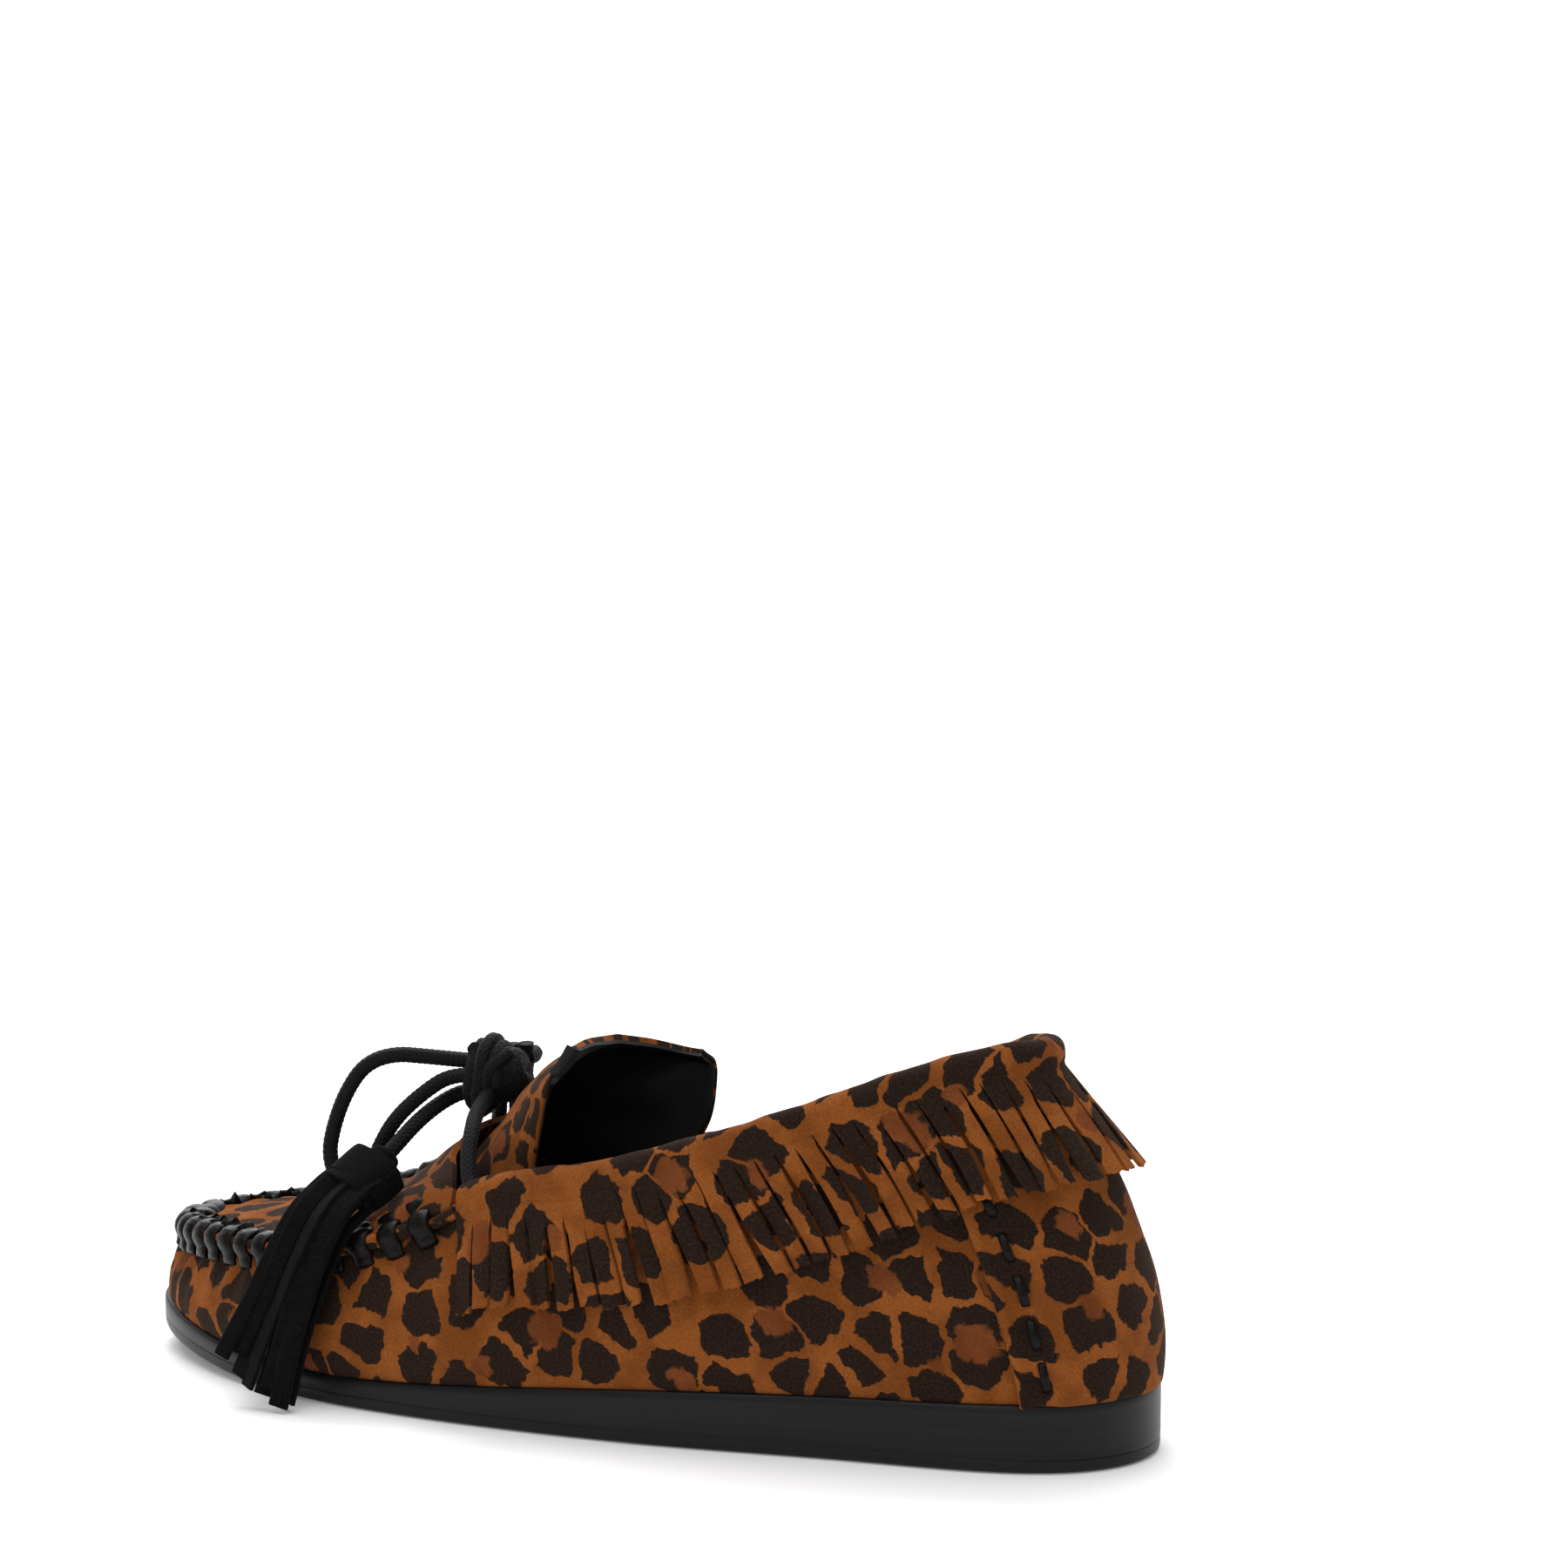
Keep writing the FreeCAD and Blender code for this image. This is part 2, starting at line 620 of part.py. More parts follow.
def wrap(y, bottom, top, half_width):
    """One upright turn of cord, its outside between two heights."""
    r = CORD_DIAMETER / 2
    half = half_width - r
    low = bottom + r + half
    high = top - r - half
    middle = V(-half, y, (low + high) / 2)
    over = Part.Arc(V(-half, y, high), V(0, y, high + half), V(half, y, high)).toShape()
    under = Part.Arc(V(half, y, low), V(0, y, low - half), V(-half, y, low)).toShape()
    path = Part.Wire([Part.makeLine(middle, V(-half, y, high)), over,
                      Part.makeLine(V(half, y, high), V(half, y, low)), under,
                      Part.makeLine(V(-half, y, low), middle)])
    circle = Part.Wire(Part.Circle(middle, V(0, 0, 1), r).toShape())
    return path.makePipeShell([circle], True, False)


# (Y, bottom, top, half width) of each turn
WRAPS = [(-38.4, 62.9, 83.0, 6.6), (-34.1, 66.6, 81.4, 6.4), (-29.9, 70.4, 79.8, 4.4)]
knot = Part.makeCylinder(6.9, 8.0, V(-1, -41.5, KNOT_CORE_Z), V(0, 1, 0))
knot = knot.fuse(Part.makeCylinder(6.6, 8.5, V(-8.5, -35.3, KNOT_CORE_Z), V(1, 0, 0)))
for turn in WRAPS:
    knot = knot.fuse(wrap(*turn))
knot = knot.fuse(Part.makeCylinder(3.0, 6.0, V(0, -36, 75.0), V(0, 1, 0)))
save("lace_knot", knot.Solids[0])

# ---- Free cords: a bow loop and a tail on each side ----
BOW_LOOP_OUTER = [V(-1, -41.5, 75.6), V(-1, -47.5, 75.6), V(2.5, -54.2, 76.4), V(6.5, -61, 77.2),
                  V(9.2, -67.5, 74.5), V(11.5, -71.5, 67.5), V(13.5, -73.7, 59.5), V(14.8, -74.3, 52.6),
                  V(15.8, -70.8, 46.4), V(15.8, -63.2, 47.6), V(14.7, -60.8, 54.8), V(11.8, -58, 62),
                  V(7.5, -53, 68), V(3, -47, 72.8), V(3, -41.5, 72.8)]
BOW_LOOP_INNER = [V(-8.5, -37.6, 76.3), V(-12.5, -37.6, 76.3), V(-16.5, -42.5, 75.2), V(-22, -47.5, 71),
                  V(-28.4, -51.6, 63.4), V(-34, -55.2, 54.6), V(-38.6, -59.2, 45.8), V(-42.5, -62.5, 38),
                  V(-45.2, -64.6, 31.5), V(-46.6, -62.6, 25.1), V(-46.8, -54.9, 24.9), V(-45.6, -52.3, 31.7),
                  V(-43.8, -53.6, 39), V(-39.9, -53, 47), V(-34.4, -50.5, 55.5), V(-28, -46.8, 64.2),
                  V(-21.5, -41.8, 72), V(-15.8, -34.8, 76.4), V(-12.6, -32.7, 75.9), V(-8.5, -32.7, 75.9)]
TAIL_OUTER = [V(-0.8, -41.5, 68.1), V(-0.8, -46.0, 68.1), V(2.8, -49.6, 65.9), V(8, -51.6, 63.2),
              V(12.8, -52.5, 60.8), V(17.1, -53.4, 58)]
TAIL_INNER = [V(-8.5, -35.3, 70.8), V(-12.5, -35.3, 70.8), V(-16.8, -38.2, 69.4), V(-21.6, -39.6, 67),
              V(-26.5, -39.5, 64), V(-31, -38.6, 60.1)]
save("bow_loop_outer", tube(BOW_LOOP_OUTER, CORD_DIAMETER, "bow_loop_outer"))
save("bow_loop_inner", tube(BOW_LOOP_INNER, CORD_DIAMETER, "bow_loop_inner"))
save("lace_tail_outer", tube(TAIL_OUTER, CORD_DIAMETER, "lace_tail_outer"))
save("lace_tail_inner", tube(TAIL_INNER, CORD_DIAMETER, "lace_tail_inner"))

# ---- Tassels: a wrapped head at each tail's end and a bundle of suede strips ----
HEAD_BALL = 3.2
HEAD_LENGTH = 12.0
HEAD_STATIONS = [1.5, 4, 7, HEAD_LENGTH]
STRIP_STEPS = 8
# Along the tassel, from the middle of the ball: half width and half thickness.
TASSEL_HALF_WIDTH = [(1.5, 3.4), (5, 7.0), (12, 7.8), (25, 8.2), (42, 9.3), (60, 11.4), (72, 12.4)]
TASSEL_HALF_DEPTH = [(1.5, 3.0), (5, 4.4), (12, 4.6), (25, 4.0), (42, 3.5), (60, 3.2), (72, 2.8)]
SECTION = [(1, 0.45), (0.75, 1), (-0.75, 1), (-1, 0.45), (-1, -0.45), (-0.75, -1), (0.75, -1), (1, -0.45)]
TASSEL_OUTER = [V(19.8, -54.4, 55.9), V(25, -57, 51.2), V(31, -60, 47.6), V(37.5, -62, 43.2),
                V(43, -64.5, 34.4), V(47.5, -67.5, 23.2), V(50.8, -71.5, 11), V(52, -73.8, 3.6)]
TASSEL_INNER = [V(-33.5, -38.1, 57.6), V(-37.6, -38, 54), V(-42, -38, 47.5), V(-45, -38.5, 39),
                V(-47, -39.2, 28), V(-48.8, -40.6, 15), V(-49.6, -41.5, 5.5)]


def tassel(path):
    """Head and strips along a bent path; the ball at the head's top is centred on the hinge."""
    curve = Part.BSplineCurve()
    curve.interpolate(path)
    total = curve.length()

    def section(distance):
        t = curve.parameterAtDistance(distance, curve.FirstParameter)
        centre = curve.value(t)
        along = curve.tangent(t)[0]
        wide = V(0, 1, 0) - along * along.y
        wide.normalize()
        wide = wide * smooth(distance, TASSEL_HALF_WIDTH)
        thick = along.cross(wide)
        thick.normalize()
        thick = thick * smooth(distance, TASSEL_HALF_DEPTH)
        return [centre + wide * a + thick * b for a, b in SECTION]

    head = loft([section(d) for d in HEAD_STATIONS]).fuse(Part.makeSphere(HEAD_BALL, path[0]))
    hanging = total - HEAD_LENGTH
    strands = loft([section(HEAD_LENGTH + hanging * k / STRIP_STEPS) for k in range(STRIP_STEPS + 1)])
    print("tassel length %.1f" % total)
    return head.Solids[0], strands


for name, path in (("outer", TASSEL_OUTER), ("inner", TASSEL_INNER)):
    head, strands = tassel(path)
    save("tassel_head_" + name, head)
    save("tassel_strips_" + name, strands)

for name, shape in NODES.items():
    box = shape.BoundBox
    print("%-20s %3d solids  x %6.1f %6.1f  y %7.1f %6.1f  z %5.1f %5.1f" % (
        name, len(shape.Solids), box.XMin, box.XMax, box.YMin, box.YMax, box.ZMin, box.ZMax))
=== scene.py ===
import math
import bpy
import numpy as np
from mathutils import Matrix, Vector


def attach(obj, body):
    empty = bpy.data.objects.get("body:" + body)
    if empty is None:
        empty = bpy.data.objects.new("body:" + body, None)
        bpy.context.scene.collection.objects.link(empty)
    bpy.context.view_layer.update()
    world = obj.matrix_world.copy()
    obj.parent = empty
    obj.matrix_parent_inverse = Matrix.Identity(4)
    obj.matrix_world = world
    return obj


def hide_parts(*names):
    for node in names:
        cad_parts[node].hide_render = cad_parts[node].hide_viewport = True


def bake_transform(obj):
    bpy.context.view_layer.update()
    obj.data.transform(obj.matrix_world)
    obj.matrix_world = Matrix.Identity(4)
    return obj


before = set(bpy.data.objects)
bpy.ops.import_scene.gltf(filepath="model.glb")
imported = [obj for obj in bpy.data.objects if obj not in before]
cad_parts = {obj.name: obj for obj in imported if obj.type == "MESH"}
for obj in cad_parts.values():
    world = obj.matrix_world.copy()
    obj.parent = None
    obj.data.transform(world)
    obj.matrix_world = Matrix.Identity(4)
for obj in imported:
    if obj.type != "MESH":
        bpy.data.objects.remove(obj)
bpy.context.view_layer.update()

# One left moccasin. Shapes are worked out in millimetres and handed to Blender in metres.
# Toe towards -Y, heel towards +Y, outer side of the foot towards +X, ground at Z 0.
MM = 0.001

# ---- Camera: 12 degrees above the floor, a little behind the shoe's outer side ----
CAMERA_AZIMUTH = 118.0
CAMERA_ELEVATION = 12.0
CAMERA_DISTANCE = 950.0
CAMERA_ROUND = (0.0, 0.0, 45.0)
AIM_AZIMUTH = 115.788
AIM_ELEVATION = 6.038
LENS = 92.12


def back_vector(azimuth, elevation):
    a, e = math.radians(azimuth), math.radians(elevation)
    return Vector((math.sin(a) * math.cos(e), -math.cos(a) * math.cos(e), math.sin(e)))


def place_camera():
    camera = bpy.data.objects.new("camera", bpy.data.cameras.new("camera"))
    bpy.context.scene.collection.objects.link(camera)
    camera.data.lens = LENS
    camera.data.sensor_width = 36.0
    camera.data.clip_start = 0.05
    away = back_vector(CAMERA_AZIMUTH, CAMERA_ELEVATION) * CAMERA_DISTANCE
    camera.location = (Vector(CAMERA_ROUND) + away) * MM
    camera.rotation_mode = "QUATERNION"
    camera.rotation_quaternion = (-back_vector(AIM_AZIMUTH, AIM_ELEVATION)).to_track_quat("-Z", "Y")
    bpy.context.scene.camera = camera


place_camera()

# ---- Driving dimensions of the last and the leather ----
HALF_LENGTH = 131.0
TOE_SPRING = 5.7
FLAT_FROM = -50.0
SUEDE = 1.4
LINING = 0.8
SKIN_GAP = 0.12
CORD_DIAMETER = 3.8
UPPER_INSET = 1.0
WALL_LEAN_POWER = 1.65
PUFF_SHAPE = 27 / 4     # brings the peak of s (1 - s)^2 to 1
DOME_POWER = 2.2
TOP_FRONT = -124.5
TOP_BACK = 106.0
PLUG_BACK_ANGLE = 99.8
COLLAR_FRONT_ANGLE = 98.6
BAND_DEPTH = 0.9
FRINGE_PITCH = 4.9

# Stations: (Y, value) pairs joined by one smooth curve.
SOLE_OUTER_HALF = [(-131, 38.3), (-85, 44.3), (-40, 44.4), (20, 41.4), (75, 33.5), (131, 32.5)]
SOLE_INNER_HALF = [(-131, 38.0), (-85, 42.0), (-45, 42.0), (15, 31.0), (75, 32.5), (131, 32.5)]
SOLE_CENTRE = [(-131, -4.0), (-85, -1.5), (-40, 0.0), (131, 0.0)]
SOLE_THICKNESS = [(-131, 7.6), (-60, 6.8), (30, 12.8), (131, 16.0)]
TOP_OUTER_HALF = [(-124.5, 31), (-100, 35), (-80, 37), (-55, 36.5), (-30, 34), (0, 34.5),
                  (40, 34), (75, 30), (106, 26)]
TOP_INNER_HALF = [(-124.5, 31), (-100, 33.5), (-80, 33), (-55, 32.5), (-30, 33), (0, 34),
                  (40, 33), (75, 29.5), (106, 26)]
TOP_OUTER_Z = [(-124.5, 28.5), (-100, 30.5), (-80, 31.8), (-56, 35.5), (-44, 39.5), (-32, 44.5),
               (-24, 48.5), (7, 55.7), (60, 72.8), (84, 82), (97, 85.6), (106, 86.7)]
TOP_INNER_Z = [(-124.5, 28.5), (-100, 31.5), (-82, 35), (-70, 40), (-55, 45.5), (-40, 47.5),
               (-24, 46.5), (7, 51.5), (60, 68.0), (84, 79), (97, 84.6), (106, 86.7)]
SOLE_POWERS = (2.9, 6.2)
TOP_POWERS = (2.6, 3.0)
WALL_PUFF = [(-131, 0.3), (-90, 2.0), (131, 2.0)]
CREST = [(-124.5, 28.6), (-115, 30.8), (-100, 33.7), (-85, 36.2), (-70, 39.4), (-60, 44), (-53, 49),
         (-46, 54), (-38, 60.5), (-29, 68)]
FRINGE_DEPTH = [(-26.5, 21.0), (15, 25.5), (60, 24.5), (90, 23), (106, 21.5)]
FRINGE_FLARE = [(-26.5, 1.6), (60, 2.2), (88, 4.0), (106, 5.5)]
STITCH_PITCHES = [(-124.5, 6.8), (-90, 7.2), (-35, 9.0)]
STITCH_START = 104.0
TONGUE_CREST = [(-42.0, 53.2), (-34.5, 60.4), (-26.6, 69.8), (-17.8, 78.6), (-10, 83.4), (-3.5, 85.2)]
TONGUE_EDGE_OUT = [(-14.5, 43), (-12.5, 52), (-10.5, 61.5), (-8.5, 71.5), (-6, 80.0), (-3, 87.4)]
TONGUE_EDGE_IN = [(-4, 43), (2, 52), (7, 61), (8.5, 70), (8.5, 76), (7, 80)]
TONGUE_HALF = [26.0, 27.0, 27.8, 28.1, 27.4, 24.0]


# ---- Curves and surfaces of the last ----
def smooth(value, stations):
    """Smooth curve through (position, value) stations, held flat beyond the ends."""
    at, level = np.array(stations, float).T
    step = np.diff(at)
    slope = np.diff(level) / step
    inner = (slope[:-1] * step[1:] + slope[1:] * step[:-1]) / (step[:-1] + step[1:])
    knot = np.concatenate([slope[:1], inner, slope[-1:]])
    x = np.clip(value, at[0], at[-1])
    k = np.clip(np.searchsorted(at, x, side="right") - 1, 0, len(step) - 1)
    t = (x - at[k]) / step[k]
    low = (2 * t**3 - 3 * t**2 + 1) * level[k] + (t**3 - 2 * t**2 + t) * step[k] * knot[k]
    high = (3 * t**2 - 2 * t**3) * level[k + 1] + (t**3 - t**2) * step[k] * knot[k + 1]
    return low + high


def through(points, count):
    """Evenly spaced points on one smooth curve through these."""
    points = np.array(points, float)
    travelled = distances(points)
    at = np.linspace(0, travelled[-1], count)
    return np.stack([smooth(at, np.stack([travelled, column], -1)) for column in points.T], -1)


def distances(line):
    """How far along the line each of its points is."""
    return np.concatenate([[0], np.cumsum(np.linalg.norm(np.diff(line, axis=0), axis=1))])


def unit(vectors):
    return vectors / np.maximum(np.linalg.norm(vectors, axis=-1, keepdims=True), 1e-9)


def vec(x, y, z):
    return np.stack(np.broadcast_arrays(x, y, z), -1).astype(float)


def outline(angle, front, back, outer, inner, powers):
    """Point of a foot-shaped outline: 0 degrees at the heel, 90 outer side, 180 toe."""
    a = np.radians(angle)
    y = (front + back) / 2 + (back - front) / 2 * np.cos(a)
    power = np.where(np.cos(a) < 0, powers[0], powers[1])
    fullness = np.sqrt(np.clip(1 - np.abs(np.cos(a)) ** power, 0, None))
    outside = np.sin(a) >= 0
    width = np.where(outside, smooth(y, outer), -smooth(y, inner))
    return vec(smooth(y, SOLE_CENTRE) + width * fullness, y, 0)


def sole_outline(angle):
    return outline(angle, -HALF_LENGTH, HALF_LENGTH, SOLE_OUTER_HALF, SOLE_INNER_HALF, SOLE_POWERS)


def outward_of(curve, angle, step, middle_y):
    along = curve(angle + step) - curve(angle - step)
    outward = unit(vec(-along[..., 1], along[..., 0], 0))
    away = curve(angle) - vec(0, middle_y, 0)
    facing = np.sign((outward * away).sum(-1, keepdims=True)) + 0.0
    return outward * facing


def sole_ring(angle, offset=0.0):
    return sole_outline(angle) + outward_of(sole_outline, angle, 0.4, 0) * offset


def tread_z(y):
    return TOE_SPRING * np.clip((FLAT_FROM - y) / (HALF_LENGTH + FLAT_FROM), 0, None) ** 2


def sole_top(y):
    return tread_z(y) + smooth(y, SOLE_THICKNESS)


def top_edge(angle):
    point = outline(angle, TOP_FRONT, TOP_BACK, TOP_OUTER_HALF, TOP_INNER_HALF, TOP_POWERS)
    outer_side = np.sin(np.radians(angle)) >= 0
    y = point[..., 1]
    point[..., 2] = np.where(outer_side, smooth(y, TOP_OUTER_Z), smooth(y, TOP_INNER_Z))
    return point


def wall_outward(angle):
    """Level outward direction of the upper's top edge."""
    return outward_of(top_edge, angle, 0.5, 20)


def wall(angle, s):
    """Outer face of the side wall: s is 0 at the sole and 1 at the top edge."""
    angle, s = np.broadcast_arrays(np.asarray(angle, float), np.asarray(s, float))
    foot = sole_ring(angle, -UPPER_INSET)
    foot_z = sole_top(foot[..., 1])
    top = top_edge(angle)
    lean = (s ** WALL_LEAN_POWER)[..., None]
    puff = smooth(foot[..., 1], WALL_PUFF) * PUFF_SHAPE * s * (1 - s) ** 2
    point = foot * (1 - lean) + top * lean + outward_of(sole_outline, angle, 0.4, 0) * puff[..., None]
    point[..., 2] = foot_z + (top[..., 2] - foot_z) * s
    return point


def wall_height(angle):
    return wall(angle, 1)[..., 2] - wall(angle, 0)[..., 2]


def plug(angle, w):
    """Outer face of the apron between the seam at this angle (w 1) and its mirror (w -1)."""
    a = top_edge(angle)
    b = top_edge(360 - angle)
    share = np.asarray(w, float)[..., None]
    chord = a * ((1 + share) / 2) + b * ((1 - share) / 2)
    dome = smooth(a[..., 1], CREST) - (a[..., 2] + b[..., 2]) / 2
    chord[..., 2] += dome * (1 - np.abs(w) ** DOME_POWER)
    return chord


def tongue_point(row, w):
    """Outer face of the tongue: a curled flap, w from -1 (inner side edge) to 1, with a straight top."""
    def rows(values):
        return smooth(row, list(enumerate(values)))

    outer_y, outer_z, inner_y, inner_z, crest_y, crest_z = [
        rows([p[k] for p in line]) for line in (TONGUE_EDGE_OUT, TONGUE_EDGE_IN, TONGUE_CREST) for k in (0, 1)]
    rise = np.clip(np.cos(np.pi * w / 2), 0, 1)
    reach = np.sin(np.pi * w / 2)
    level = ramp((row - 3) / 2)
    edge_y = (outer_y * (1 + w) + inner_y * (1 - w)) / 2
    edge_z = (outer_z * (1 + w) + inner_z * (1 - w)) / 2
    curled = edge_z + (crest_z - edge_z) * rise ** 0.8
    straight = crest_z + (np.where(w > 0, outer_z, inner_z) - crest_z) * np.abs(reach)
    return vec(rows(TONGUE_HALF) * reach, edge_y + (crest_y - edge_y) * rise,
               (1 - level) * curled + level * straight)


def ripple(u, v, length, seed):
    """Soft unevenness of hand-worked leather, about -1 to 1, with swells of this length."""
    draw = np.random.default_rng(seed)
    total = 0
    for _ in range(7):
        turn = draw.uniform(0, 2 * math.pi)
        k = 2 * math.pi / length * draw.uniform(0.6, 1.4)
        total = total + np.cos(k * (u * math.cos(turn) + v * math.sin(turn)) + draw.uniform(0, 2 * math.pi))
    return total / 3.5


def ramp(x):
    """0 below 0, 1 above 1, and a smooth rise between."""
    x = np.clip(x, 0, 1)
    return x * x * (3 - 2 * x)


# ---- Meshes ----
def mesh_piece(name, bundles, crease=78, looped=False):
    """One mesh from bundles of closed rings (N x M points, mm), each with its place on the cut hide.

    Each bundle's end rings are closed by a strip of faces, unless it is looped, when its last ring
    joins its first. Corners sharper than crease degrees stay crisp.
    """
    points, cuts, faces = [], [], []
    base = 0
    for rings, cut in bundles:
        n, m = rings.shape[:2]
        index = base + np.arange(n * m).reshape(n, m)
        lower = index if looped else index[:-1]
        upper = np.roll(index, -1, axis=0) if looped else index[1:]
        quads = [lower, np.roll(lower, -1, axis=1), np.roll(upper, -1, axis=1), upper]
        faces.append(np.stack(quads, -1).reshape(-1, 4))
        if not looped:
            for ring in (index[0], index[-1]):
                there, back = ring[:m // 2], ring[::-1][:m // 2]
                faces.append(np.stack([there[:-1], there[1:], back[1:], back[:-1]], -1))
        points.append(rings.reshape(-1, 3))
        cuts.append(np.broadcast_to(cut, rings.shape[:2] + (2,)).reshape(-1, 2))
        base += n * m
    points = np.concatenate(points) * MM
    cuts = np.concatenate(cuts) * MM
    mesh = bpy.data.meshes.new(name)
    mesh.from_pydata(points.tolist(), [], np.concatenate(faces).tolist())
    place = mesh.attributes.new("cut", "FLOAT_VECTOR", "POINT")
    place.data.foreach_set("vector", np.column_stack([cuts, np.zeros(len(cuts))]).ravel())
    made = bpy.data.objects.new(name, mesh)
    bpy.context.scene.collection.objects.link(made)
    bpy.context.view_layer.objects.active = made
    made.select_set(True)
    bpy.ops.object.mode_set(mode="EDIT")
    bpy.ops.mesh.select_all(action="SELECT")
    bpy.ops.mesh.normals_make_consistent(inside=False)
    bpy.ops.object.mode_set(mode="OBJECT")
    made.select_set(False)
    mesh.polygons.foreach_set("use_smooth", [True] * len(mesh.polygons))
    mesh.set_sharp_from_angle(angle=math.radians(crease))
    return made


def face_normals(grid):
    return unit(np.cross(np.gradient(grid, axis=0), np.gradient(grid, axis=1)))


def sheet_rings(grid, thickness, side=1, rounded=True):
    """Rings round a sheet of leather: along its face, round one edge, back underneath, round the other."""
    under = grid - face_normals(grid) * side * thickness
    if not rounded:
        return np.concatenate([grid, under[:, ::-1]], axis=1)
    rims = []
    for edge, beside in ((-1, -2), (0, 1)):
        out = unit(grid[:, edge] - grid[:, beside])
        rims.append(((grid[:, edge] + under[:, edge]) / 2 + out * thickness * 0.4)[:, None])
    return np.concatenate([grid, rims[0], under[:, ::-1], rims[1]], axis=1)


def sheet_cut(u, v, rounded=True):
    """Places on the hide to match sheet_rings."""
    cut = np.stack(np.broadcast_arrays(u, v), -1)
    if not rounded:
        return np.concatenate([cut, cut[:, ::-1]], axis=1)
    return np.concatenate([cut, cut[:, -1:], cut[:, ::-1], cut[:, :1]], axis=1)


def arc_length(grid, column):
    """Distance along a grid's rows, measured down one column."""
    return distances(grid[:, column])


def squared(turn, power):
    """Cosine and sine round a section between a circle (power 1) and a square (power 0)."""
    return [np.sign(x) * np.abs(x) ** power for x in (np.cos(turn), np.sin(turn))]


def strap_rings(path, wide, half_width, half_thick, count=12, squareness=0.7):
    """Rings of a flat strip swept along a path; wide is the way its width lies."""
    along = unit(np.gradient(path, axis=0))
    wide = unit(wide - along * (wide * along).sum(-1, keepdims=True))
    thick = np.cross(along, wide)
    turn = (np.arange(count) + 0.5) * 2 * math.pi / count
    c, s = squared(turn, squareness)
    across = np.broadcast_to(half_width, len(path))[:, None] * c
    through_it = np.broadcast_to(half_thick, len(path))[:, None] * s
    return path[:, None] + wide[:, None] * across[..., None] + thick[:, None] * through_it[..., None]


def strap_cut(rings, start=(0, 0)):
    """Places on the hide for a swept strip: along it, and round it."""
    along = arc_length(rings, 0)
    spacing = np.linalg.norm(rings - np.roll(rings, 1, axis=1), axis=-1).mean()
    round_it = spacing * np.arange(rings.shape[1])
    return np.stack(np.broadcast_arrays(start[0] + along[:, None], start[1] + round_it), -1)


def put(made, body, finish, slot_name, *nodes):
    """Gives a piece its finish and its body, and hides the CAD nodes that it stands for."""
    made.data.materials.append(finish)
    if body:
        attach(made, body)
    if nodes:
        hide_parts(*nodes)
    return made


# ---- Finishes ----
def colour(hex_value):
    """sRGB hex to the linear colour that the shader wants."""
    parts = [int(hex_value[k:k + 2], 16) / 255 for k in (1, 3, 5)]
    return tuple(p / 12.92 if p <= 0.04045 else ((p + 0.055) / 1.055) ** 2.4 for p in parts) + (1.0,)


def add(material, kind, inputs=None, **settings):
    """Adds a node; inputs maps a socket's name or number to a value or to another socket."""
    tree = material.node_tree
    made = tree.nodes.new("ShaderNode" + kind)
    for name, value in settings.items():
        setattr(made, name, value)
    for name, value in (inputs or {}).items():
        if isinstance(value, bpy.types.NodeSocket):
            tree.links.new(value, made.inputs[name])
        else:
            made.inputs[name].default_value = value
    return made


def new_finish(name):
    material = bpy.data.materials.new(name)
    material.use_nodes = True
    material.node_tree.nodes.clear()
    return material


def surface(material, inputs):
    shader = add(material, "BsdfPrincipled", inputs)
    add(material, "OutputMaterial", {"Surface": shader.outputs[0]})
    return material


def scaled(material, vector, factor):
    return add(material, "VectorMath", {0: vector, "Scale": factor}, operation="SCALE").outputs[0]


def hide_place(material):
    """Place on the cut hide, in millimetres."""
    return scaled(material, add(material, "Attribute", attribute_name="cut").outputs["Vector"], 1 / MM)


def noise(material, place, scale, more=None, **settings):
    inputs = {"Vector": place, "Scale": scale, **(more or {})}
    return add(material, "TexNoise", inputs, **settings).outputs["Fac"]


def cells(material, place, scale, more=None, **settings):
    inputs = {"Vector": place, "Scale": scale, **(more or {})}
    return add(material, "TexVoronoi", inputs, **settings).outputs["Distance"]


def remapped(material, value, inputs):
    return add(material, "MapRange", {"Value": value, **inputs}).outputs[0]


def bumped(material, height, strength, depth):
    """Normal for relief this deep, in mm."""
    inputs = {"Height": height, "Strength": strength, "Distance": depth * MM}
    return add(material, "Bump", inputs).outputs[0]


def math_node(material, operation, a, b=0.0, c=0.0):
    return add(material, "Math", {0: a, 1: b, 2: c}, operation=operation).outputs[0]


def opposite(material, value):
    return math_node(material, "SUBTRACT", 1.0, value)


def mixed(material, factor, first, second):
    return add(material, "Mix", {0: factor, 6: first, 7: second}, data_type="RGBA").outputs[2]


def stepped(material, value, low, high):
    """0 below low, 1 above high, smooth between."""
    return add(material, "MapRange", {"Value": value, "From Min": low, "From Max": high},
               interpolation_type="SMOOTHSTEP").outputs[0]


def warped(material, place, scale, amount, seed):
    """The place moved about by noise with swells of 1 / scale, by up to half this amount."""
    moved = add(material, "VectorMath", {0: place, 1: (seed, seed * 0.7, 0)}, operation="ADD").outputs[0]
    inputs = {"Vector": moved, "Scale": scale, "Detail": 2.0}
    waves = add(material, "TexNoise", inputs, noise_dimensions="2D").outputs["Color"]
    centred = add(material, "VectorMath", {0: waves, 1: (0.5, 0.5, 0.5)}, operation="SUBTRACT").outputs[0]
    return add(material, "VectorMath", {0: centred, 1: (amount, amount, 0), 2: place},
               operation="MULTIPLY_ADD").outputs[0]


ROSETTE = 25.0       # mm from one printed rosette to the next
BLOT = 12.0          # mm from one dark blot to the next
NAP = 0.6            # mm, tufts of the brushed suede, drawn coarser than real so that they show
FLAT_CELLS = {"voronoi_dimensions": "2D"}
FLAT_NOISE = {"noise_dimensions": "2D"}


